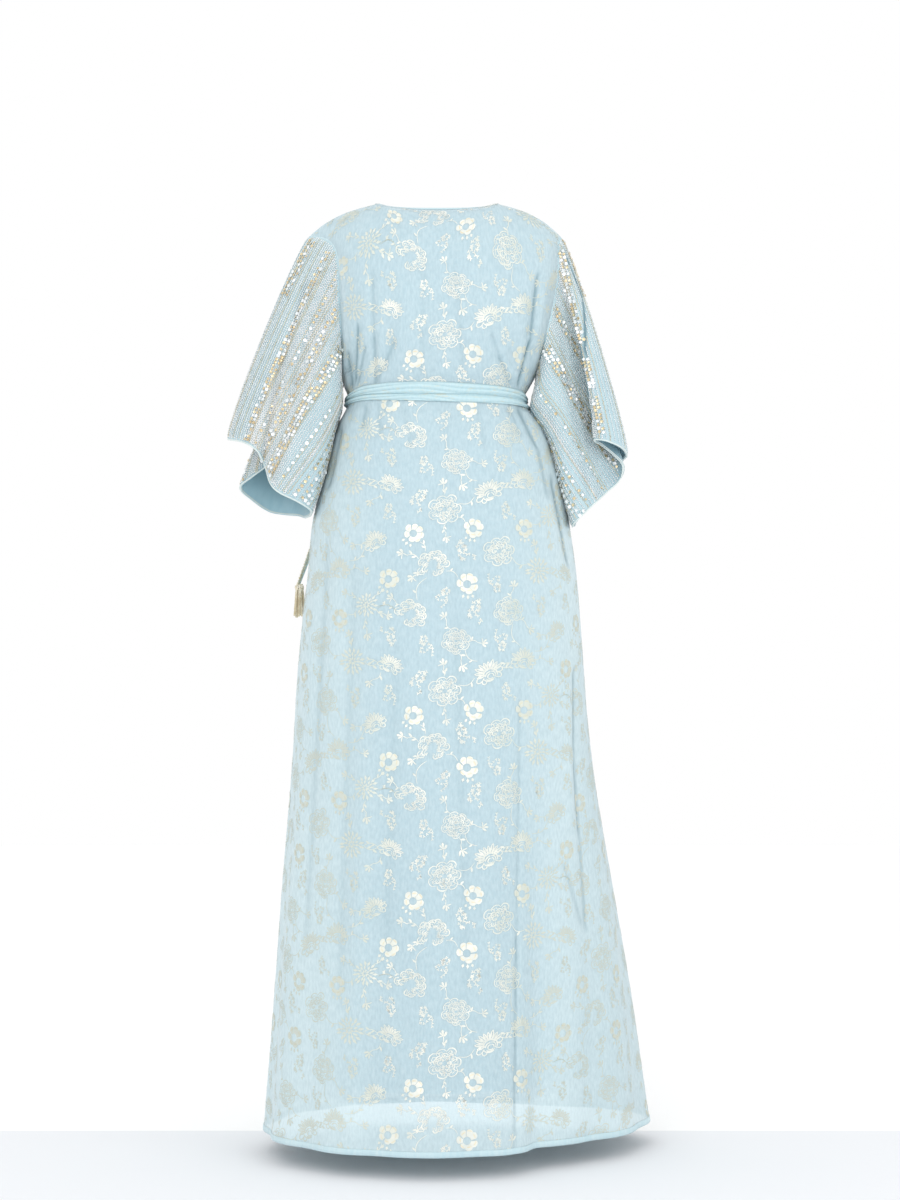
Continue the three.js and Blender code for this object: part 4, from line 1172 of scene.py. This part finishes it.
# ---------- sequinned sleeves
# How fast a row of beads drifts from the underarm towards the fold over the arm, by how far round it is.
DRIFT = table(
    "at drift",
    (0, 0.0),
    (0.2, 0.04),
    (0.35, 0.22),
    (0.45, 0.3),
    (0.6, 0.4),
    (0.8, 0.42),
    (0.9, 0.3),
    (1.0, 0.2),
)
ROW_GAP = 4.6  # between rows of beads at the armhole
UNDERARM_GAP = 0.074  # share of the underarm seam between rows that start there
CHAIN_STEP = 3.5  # from bead to bead
CHAIN_SLANT = 0.6  # how far each turns off its row
LANE_GAP = 6.5  # between sequins that lie side by side
TOP_ROW_LENGTH = 95  # the rows by the top of the armhole end early
SEQUINS_LEFT = 0.84  # share of their places that hold a sequin
BEAD_LIFT, SEQUIN_LIFT = 0.8, 1.0
DARKEST = 0.42  # where the cloth's painted shade is deeper than this it lies in a fold and shows no bead
# Rows of sequins: where they start, their spacing, the share of gold ones and how many lie side by side.
DISC_ROWS = table(
    "at down step gold abreast",
    (0.05, 0.01, 6.2, 0.8, 3),
    (0.21, 0.02, 5.6, 0.6, 2),
    (0.42, 0.02, 10.5, 0.75, 1),
    (0.60, 0.02, 7.6, 0.7, 2),
    (0.80, 0.04, 6.0, 0.5, 3),
    (0.95, 0.0, 12.5, 0.3, 1),
    (1.0, 0.16, 8.6, 0.6, 1),
    (1.0, 0.3, 12.0, 0.75, 1),
    (1.0, 0.42, 9.5, 0.3, 2),
    (1.0, 0.64, 9.0, 0.45, 1),
)


def row_line(at, down):
    """A row's way down the sleeve from where it starts, as (round, down)."""
    steps = np.linspace(down, 1, max(int(40 * (1 - down)), 4))
    way = [at]
    for gap in np.diff(steps):
        way.append(way[-1] - gap * np.interp(way[-1], DRIFT["at"], DRIFT["drift"]))
    return np.array(way), steps


def row_on(side, at, down, step, front, aside=0.0):
    """Places along a row at even steps, each with its way ahead and its outward direction."""
    outer, normals, dark = sleeve_skins[side]
    rows, columns = outer.shape[0] - 1, outer.shape[1]
    way, level = row_line(at, down)
    column = ((2 - way) if front else way) / 2 * columns % columns
    c, f = column.astype(int), (column % 1)[:, None]
    r = np.clip(level * rows, 0, rows - 1e-6)
    lines = []
    for grid in (outer, normals):
        ends = [mix(grid[q, c], grid[q, (c + 1) % columns], f) for q in (r.astype(int), r.astype(int) + 1)]
        lines.append(mix(*ends, (r % 1)[:, None]))
    path, out = lines
    run = np.concatenate([[0], np.cumsum(np.linalg.norm(np.diff(path, axis=0), axis=1))])
    stops = np.arange(3 + RNG.uniform(0, step), run[-1] - 4, step)
    if len(stops) < 3:
        return np.zeros((0, 9))
    spot = stack(*(np.interp(stops, run, path[:, k]) for k in range(3)))
    facing = unit(stack(*(np.interp(stops, run, out[:, k]) for k in range(3))))
    ahead = unit(np.gradient(spot, axis=0))
    spot = spot + facing * BEAD_LIFT + np.cross(facing, ahead) * aside
    open_cloth = np.interp(stops, run, dark[np.round(r).astype(int), c]) < DARKEST
    return np.concatenate([spot, ahead, facing], axis=1)[open_cloth]


def sleeve_rows(side):
    """The places of all beads and sequins of a sleeve, by their kind, on its back and then on its front."""
    outer = sleeve_skins[side][0]
    half = outer[0, : outer.shape[1] // 2 + 1]
    run = np.concatenate([[0], np.cumsum(np.linalg.norm(np.diff(half, axis=0), axis=1))])
    around = np.interp(np.arange(0.5 * ROW_GAP, run[-1], ROW_GAP), run, np.linspace(0, 1, len(run)))
    seeds = [(at, 0.0) for at in around] + [(1.0, down) for down in np.arange(0.04, 0.96, UNDERARM_GAP)]
    pieces = {"silver": [], "gold": [], "discs": [], "gold_discs": []}
    for front in (False, True):
        for k, (at, down) in enumerate(seeds):
            row = row_on(side, at, down, CHAIN_STEP, front)
            sway = np.where(np.arange(len(row)) % 2, 1, -1)[:, None] * CHAIN_SLANT
            ahead, out = row[:, 3:6], row[:, 6:9]
            row[:, 3:6] = unit(ahead + np.cross(out, ahead) * sway)
            gold = k % 7 == 2 or k % 11 == 6  # now and then a row of gold ones
            pieces["gold" if gold else "silver"].append(row)
        for at, down, step, gold_share, abreast in zip(*DISC_ROWS.values()):
            for lane in range(int(abreast)):
                aside = (lane - (abreast - 1) / 2) * LANE_GAP
                row = row_on(side, at, down, step, front, aside)
                row[:, :3] += row[:, 6:9] * SEQUIN_LIFT
                chance, kept = RNG.random(len(row)), RNG.random(len(row)) < SEQUINS_LEFT
                if at < 0.1:
                    kept &= np.arange(len(row)) * step < TOP_ROW_LENGTH
                pieces["gold_discs"].append(row[kept & (chance < gold_share)])
                pieces["discs"].append(row[kept & (chance >= gold_share)])
    return {kind: np.concatenate(rows) for kind, rows in pieces.items()}


def tilted(rows, amount):
    """The rows' outward axes turned a little each way, so that the pieces catch light unevenly."""
    ahead, out = rows[:, 3:6], rows[:, 6:9]
    side = np.cross(out, ahead)
    sway = RNG.normal(0, amount, (len(rows), 2))
    out = unit(out + ahead * sway[:, :1] + side * sway[:, 1:])
    ahead = unit(ahead - out * np.sum(ahead * out, -1, keepdims=True))
    return rows[:, :3], ahead, out


for side in SLEEVES:
    rows = sleeve_rows(side)
    for name, shape, kind, size, tilt, material in (
        ("silver_beads", BUGLE, "silver", 1.75, 0.12, STRAND),
        ("gold_beads", BUGLE, "gold", 1.7, 0.12, CHAIN),
        ("silver_sequins", SEQUIN, "discs", 5.8, 0.16, SILVER),
        ("gold_sequins", SEQUIN, "gold_discs", 4.9, 0.18, BEIGE),
    ):
        spot, ahead, out = tilted(rows[kind], tilt)
        sizes = size * RNG.uniform(0.85, 1.12, len(spot))
        soft = shape is not SEQUIN
        piece = scatter(f"{name}_{side}", shape, spot, ahead, out, sizes, material, smooth_faces=soft)


# ---------- foil print
class Motif:
    """A flat figure of triangles in its own units, put together from ribbons and filled shapes."""

    def __init__(self):
        self.points, self.faces, self.count = [], [], 0

    def keep(self, points, faces):
        """Add triangles over their own points."""
        self.points.append(points)
        self.faces.append(np.asarray(faces) + self.count)
        self.count += len(points)

    def ribbon(self, line, width):
        """Add a line that thins towards its ends."""
        line = np.asarray(line, float)
        ahead = unit(np.gradient(line, axis=0))
        taper = np.sin(np.pi * np.linspace(0.12, 0.88, len(line)))[:, None] ** 0.6
        side = stack(-ahead[:, 1], ahead[:, 0]) * taper * width / 2
        k = np.arange(len(line) - 1) * 2
        self.keep(
            np.stack([line - side, line + side], 1).reshape(-1, 2),
            np.concatenate([stack(k, k + 2, k + 1), stack(k + 1, k + 2, k + 3)]),
        )

    def fill(self, outline):
        """Add a filled shape, as a fan from its middle."""
        outline = np.asarray(outline, float)
        k = np.arange(len(outline))
        points = np.concatenate([[outline.mean(0)], outline])
        self.keep(points, stack(0, 1 + k, 1 + (k + 1) % len(k)))

    def flat(self):
        return np.concatenate(self.points), np.concatenate(self.faces)


def polar(r, a, centre=(0, 0)):
    return stack(r * np.cos(a), r * np.sin(a)) + centre


def petal(angle, near, far, span, points=7):
    """A petal's outline from its foot round its rim and back."""
    t = np.linspace(0, 1, points)
    return polar(near + (far - near) * np.sin(np.pi * t) ** 0.55, angle + (t - 0.5) * span)


def diamond(m, centre, angle, length, width):
    a = angle + np.array([0, np.pi / 2, np.pi, -np.pi / 2])
    m.keep(polar(np.array([length, width, length, width]) / 2, a, centre), [[0, 1, 2], [0, 2, 3]])


def full_rose(seed, rings, open_from=0.0):
    """A full rose in line: uneven petals curled one over the next, with none before the turn `open_from`."""
    rng = np.random.default_rng(seed)
    m = Motif()
    for petals, near, far in rings:
        step = 2 * np.pi / petals
        start = rng.uniform(0, step)
        for k in range(petals):
            angle = k * step + start + rng.uniform(-0.14, 0.14)
            if angle % (2 * np.pi) < open_from:
                continue
            reach = far * rng.uniform(0.86, 1.1)
            rim = petal(angle, mix(near, reach, 0.45), reach, step * rng.uniform(0.85, 1.1), 6)
            m.ribbon(rim, rng.uniform(0.055, 0.09))
            m.ribbon(petal(angle + 0.06, near, mix(near, reach, 0.6), step * rng.uniform(0.5, 0.8), 4), 0.05)
            for v in rng.uniform(-0.45, 0.45, 2):
                foot, tip = near * rng.uniform(0.9, 1.1), mix(near, reach, rng.uniform(0.6, 0.95))
                m.ribbon(polar(np.linspace(foot, tip, 3), angle + v * step + np.array([0, 0.04, 0.1])), 0.045)
    return m.flat()


def side_rose(seed):
    """A rose seen from the side: an oval heart over a fan of long petals."""
    rng = np.random.default_rng(seed)
    m = Motif()
    t = np.linspace(0, 1, 8)
    for r, lift in ((0.2, 0.42), (0.34, 0.38), (0.48, 0.32)):
        for start in (0.2, 2.4, 4.4):
            a = start + t * rng.uniform(1.5, 2.1)
            m.ribbon(polar(r, a, (0, lift)) * (1, 0.8), rng.uniform(0.06, 0.1))
    for k, angle in enumerate(np.linspace(3.3, 6.1, 9)):
        reach = rng.uniform(0.8, 1.08)
        for bend in (-0.13, 0.13):
            bent = angle + bend * np.sin(np.pi * np.linspace(0.1, 1, 5))
            m.ribbon(polar(np.linspace(0.3, reach, 5), bent, (0, 0.16)), 0.075)
        m.ribbon(polar(np.linspace(0.5, reach * 0.8, 3), angle + 0.03 * (k % 3 - 1), (0, 0.16)), 0.045)
    for angle in (0.3, 0.75, 2.3, 2.8):
        m.ribbon(petal(angle, 0.5, rng.uniform(0.85, 1.0), 0.6, 6), 0.08)
    return m.flat()


def daisy_rose(seed):
    """A flower of slim pointed petals in three rings."""
    rng = np.random.default_rng(seed)
    m = Motif()
    for petals, near, far, width in ((15, 0.55, 1.0, 0.2), (12, 0.3, 0.66, 0.17), (8, 0.06, 0.36, 0.15)):
        for k in range(petals):
            angle = (k + rng.uniform(-0.2, 0.2)) * 2 * np.pi / petals
            length = (far - near) * rng.uniform(0.85, 1.15)
            diamond(m, polar(near + length / 2, angle), angle + rng.uniform(-0.25, 0.25), length, width)
    return m.flat()


def ring_rose(seed):
    """A solid flower round an open heart that sits off its middle, with a tuft above it."""
    rng = np.random.default_rng(seed)
    m = Motif()
    hole = np.array([0.06, 0.1])
    for k in range(7):
        angle = k * 2 * np.pi / 7 + rng.uniform(-0.1, 0.1)
        half = np.pi / 7 * 0.92
        foot = polar(0.33, angle + np.array([half, 0, -half]), hole)
        reach = rng.uniform(0.78, 0.95) - np.array([0.14, 0.02, 0, 0.02, 0.14])
        rim = polar(reach, angle + half * np.linspace(-1, 1, 5))
        m.fill(np.concatenate([rim, foot]))
    for angle, size in ((1.25, 0.34), (1.6, 0.4), (1.95, 0.32)):
        diamond(m, polar(1.14, angle), angle, size, 0.26)
    return m.flat()


def ring_glints():
    """The second colour over the solid flower: short strokes on its petals."""
    m = Motif()
    for k in range(7):
        m.ribbon(polar(0.62 + 0.08 * (k % 2), k * 2 * np.pi / 7 + np.linspace(-0.3, 0.3, 4)), 0.1)
    return m.flat()


def bud(seed):
    """A half open bud with a calyx."""
    rng = np.random.default_rng(seed)
    m = Motif()
    for angle, far, span in ((1.57, 1.0, 0.8), (0.9, 0.85, 0.62), (2.24, 0.85, 0.62)):
        m.fill(petal(angle + rng.uniform(-0.1, 0.1), 0.12, far * rng.uniform(0.9, 1.1), span, 6))
    for angle in (0.35, 2.8):
        m.ribbon(polar(np.linspace(0.12, 0.75, 4), angle + np.linspace(0, 0.45, 4)), 0.14)
    m.ribbon([(0, 0.15), (0.03, -0.2), (-0.04, -0.7)], 0.13)
    return m.flat()


def leaf():
    """A small pointed leaf."""
    m = Motif()
    m.fill([(0, 0), (0.2, 0.3), (0.16, 0.7), (0, 1), (-0.2, 0.66), (-0.18, 0.3)])
    return m.flat()


def spray(seed):
    """A hanging cluster of tiny flowers, dense at the top and thin at its tip."""
    rng = np.random.default_rng(seed)
    m = Motif()
    for k in range(30):
        low = (k / 30) ** 0.8
        centre = ((1 - low * 0.7) * rng.uniform(-0.85, 0.85), 0.9 - 1.9 * low + rng.uniform(-0.14, 0.14))
        turn = rng.uniform(0, 3)
        for q in range(3):
            diamond(m, polar(0.075, turn + q * 2.1, centre), turn + q * 2.1, 0.18, 0.12)
    return m.flat()


WIDE = ((8, 0.74, 1.0), (8, 0.52, 0.8), (6, 0.32, 0.58), (4, 0.1, 0.34))
MOTIFS = {
    "rose0": full_rose(1, WIDE),
    "rose1": side_rose(2),
    "rose2": full_rose(3, ((7, 0.6, 1.0), (9, 0.42, 0.74), (6, 0.16, 0.46))),
    "rose3": daisy_rose(4),
    "rose4": full_rose(5, ((10, 0.68, 1.0), (9, 0.46, 0.76), (7, 0.3, 0.5)), open_from=1.3),
    "rose5": side_rose(6),
    "ring0": ring_rose(7),
    "ring1": ring_rose(8),
    "glints": ring_glints(),
    "bud0": bud(9),
    "bud1": bud(10),
    "leaf": leaf(),
    "spray0": spray(11),
    "spray1": spray(12),
}
# One repeat of the print, and what lies in it: kind, how many sorts, how many of them, and their size.
TILE = (300.0, 280.0)
FIGURES = (("rose", 6, 12, 23.5), ("ring", 2, 5, 18.5), ("spray", 2, 11, 16.5), ("bud", 2, 17, 11.0))
STEM = 1.15
LONGEST_STEM = 95
REPEATS = [(i * TILE[0], (j + 0.5 * (i % 2)) * TILE[1]) for i in (-1, 0, 1) for j in (-2, -1, 0, 1)]


def laid_out():
    """Where each figure lies in the repeat: the large ones first, each well clear of those before it."""
    rng = np.random.default_rng(31)
    laid = []
    for kind, sorts, count, size in FIGURES:
        for k in range(count):
            spots = rng.uniform(0, 1, (90, 2)) * TILE
            clear = np.full(len(spots), 1e9)
            for move in REPEATS:
                for _, s, v, other, _ in laid:
                    off = spots - (s, v) - move
                    clear = np.minimum(clear, np.hypot(*off.T) - other - size)
            s, v = spots[clear.argmax()]
            turn = rng.uniform(-40, 40) + (180 if kind == "spray" and k % 3 == 0 else 0)
            laid.append((f"{kind}{k % sorts}", s, v, size * rng.uniform(0.9, 1.08), turn))
    return laid


def turned(points, degrees):
    """Flat points turned to the left."""
    a = np.radians(degrees)
    return points @ np.array([[np.cos(a), np.sin(a)], [-np.sin(a), np.cos(a)]])


def stem_pieces(start, end, bulge, number):
    """A thin curved stem with small leaves."""
    t = np.linspace(0, 1, 9)[:, None]
    run = end - start
    line = start + run * t + np.array([-run[1], run[0]]) * bulge * np.sin(np.pi * t)
    m = Motif()
    m.ribbon(line, STEM)
    pieces = [(*m.flat(), False)]
    points, faces = MOTIFS["leaf"]
    for i, way in ((2, 1), (5, -1))[: 1 + number % 2]:
        ahead = line[i + 1] - line[i]
        turn = np.degrees(np.arctan2(ahead[1], ahead[0])) - 90 + way * 50
        pieces.append((turned(points, turn) * (6.5 + number % 3) + line[i], faces, False))
    return pieces


def nearest_rose(roses, here):
    """How far the nearest other rose is from here, and its place and size, over the repeat's edges too."""
    found = []
    for s, v, reach in roses:
        for move in REPEATS:
            there = np.array([s, v]) + move
            found.append((np.hypot(*(there - here)), *there, reach))
    far, s, v, reach = min(one for one in found if one[0] > 1)
    return far, np.array([s, v]), reach


def tile_pieces():
    """Everything in one repeat of the print, as (points in millimetres, triangles, is it gold)."""
    pieces, laid = [], laid_out()
    roses = [(s, v, size) for kind, s, v, size, _ in laid if kind.startswith("rose")]
    for number, (kind, s, v, size, turn) in enumerate(laid):
        here = np.array([s, v])
        is_bud = kind.startswith("bud")
        if not kind.startswith("spray"):
            far, there, reach = nearest_rose(roses, here)
            ahead = (here - there) / far
            if is_bud:
                turn = np.degrees(np.arctan2(ahead[1], ahead[0])) - 90
            if far < LONGEST_STEM:
                ends = there + ahead * reach * 0.92, here - ahead * size * (0.6 if is_bud else 0.92)
                pieces += stem_pieces(*ends, 0.22 * (1 - 2 * (number % 2)), number)
        for name in (kind, "glints") if kind.startswith("ring") else (kind,):
            points, faces = MOTIFS[name]
            squash = (1.0, 0.88) if kind.startswith("rose") else (1, 1)
            pieces.append((turned(points * squash, turn) * size + here, faces, name == "glints"))
    return pieces


TILE_PIECES = tile_pieces()


def print_on(cloth, panel, shift):
    """The print laid over a panel, dropped by half a repeat from one column of repeats to the next."""
    for gold, colour, material, lift in ((False, "ivory", IVORY, 0.45), (True, "gold", GOLD, 0.6)):
        points, faces, count = [], [], 0
        for column in range(-2, 2):
            for row in range(-1, 6):
                corner = (column * TILE[0], row * TILE[1] + shift + (column % 2) * TILE[1] / 2)
                for flat, triangles, is_gold in TILE_PIECES:
                    if is_gold != gold:
                        continue
                    place, on = cloth.at(*(flat + corner).T, lift)
                    kept = on[triangles].all(axis=1)
                    if kept.any():
                        points.append(place)
                        faces.append(triangles[kept] + count)
                        count += len(place)
        name = f"print_{panel}_{colour}"
        obj = mesh_object(name, np.concatenate(points), np.concatenate(faces), material)


print_on(back, "back", -20.0)
print_on(front, "front", 60.0)


# ---------- camera, floor, light
LENS = 91.14
FLOOR = -1.497
FLOOR_HALF = 6.0
FLOOR_EDGE = -0.19
AIM = (0, 0, -0.7)

camera = bpy.data.objects.new("camera", bpy.data.cameras.new("camera"))
camera.data.lens = LENS
camera.location = CAMERA
camera.rotation_euler = (np.pi / 2, 0, np.pi)
bpy.context.scene.collection.objects.link(camera)
bpy.context.scene.camera = camera


def floor():
    """A plain pale floor that turns white behind the gown."""
    corners = [(x * FLOOR_HALF, y * FLOOR_HALF, FLOOR) for x, y in ((-1, -1), (1, -1), (1, 1), (-1, 1))]
    mesh = bpy.data.meshes.new("floor")
    mesh.from_pydata(corners, [], [(0, 1, 2, 3)])
    s = Shader("floor_paint", roughness=0.9, specular=0.1)
    split = s.add("ShaderNodeSeparateXYZ")
    s.links.new(s.place(), split.inputs["Vector"])
    near = s.spread(split.outputs["Y"], FLOOR_EDGE, FLOOR_EDGE + 0.01)
    s.colour(s.blend(near, linear("FFFFFF"), linear("EEF0F3")))
    mesh.materials.append(s.material)
    obj = bpy.data.objects.new("floor", mesh)
    bpy.context.scene.collection.objects.link(obj)


def area_light(name, place, size, power):
    light = bpy.data.lights.new(name, "AREA")
    light.shape = "DISK"
    light.size = size
    light.energy = power
    obj = bpy.data.objects.new(name, light)
    obj.location = place
    obj.rotation_euler = (Vector(AIM) - Vector(place)).to_track_quat("-Z", "Y").to_euler()
    bpy.context.scene.collection.objects.link(obj)


floor()
area_light("key", (1.3, 4.2, 1.4), 2.2, 36)
area_light("fill", (-2.6, 3.0, 0.3), 2.4, 20)
world = bpy.data.worlds.new("studio")
bpy.context.scene.world = world
world.use_nodes = True
background = world.node_tree.nodes["Background"].inputs
background["Color"].default_value = (1, 1, 1, 1)
background["Strength"].default_value = 1.0
bpy.context.scene.view_settings.view_transform = "Standard"
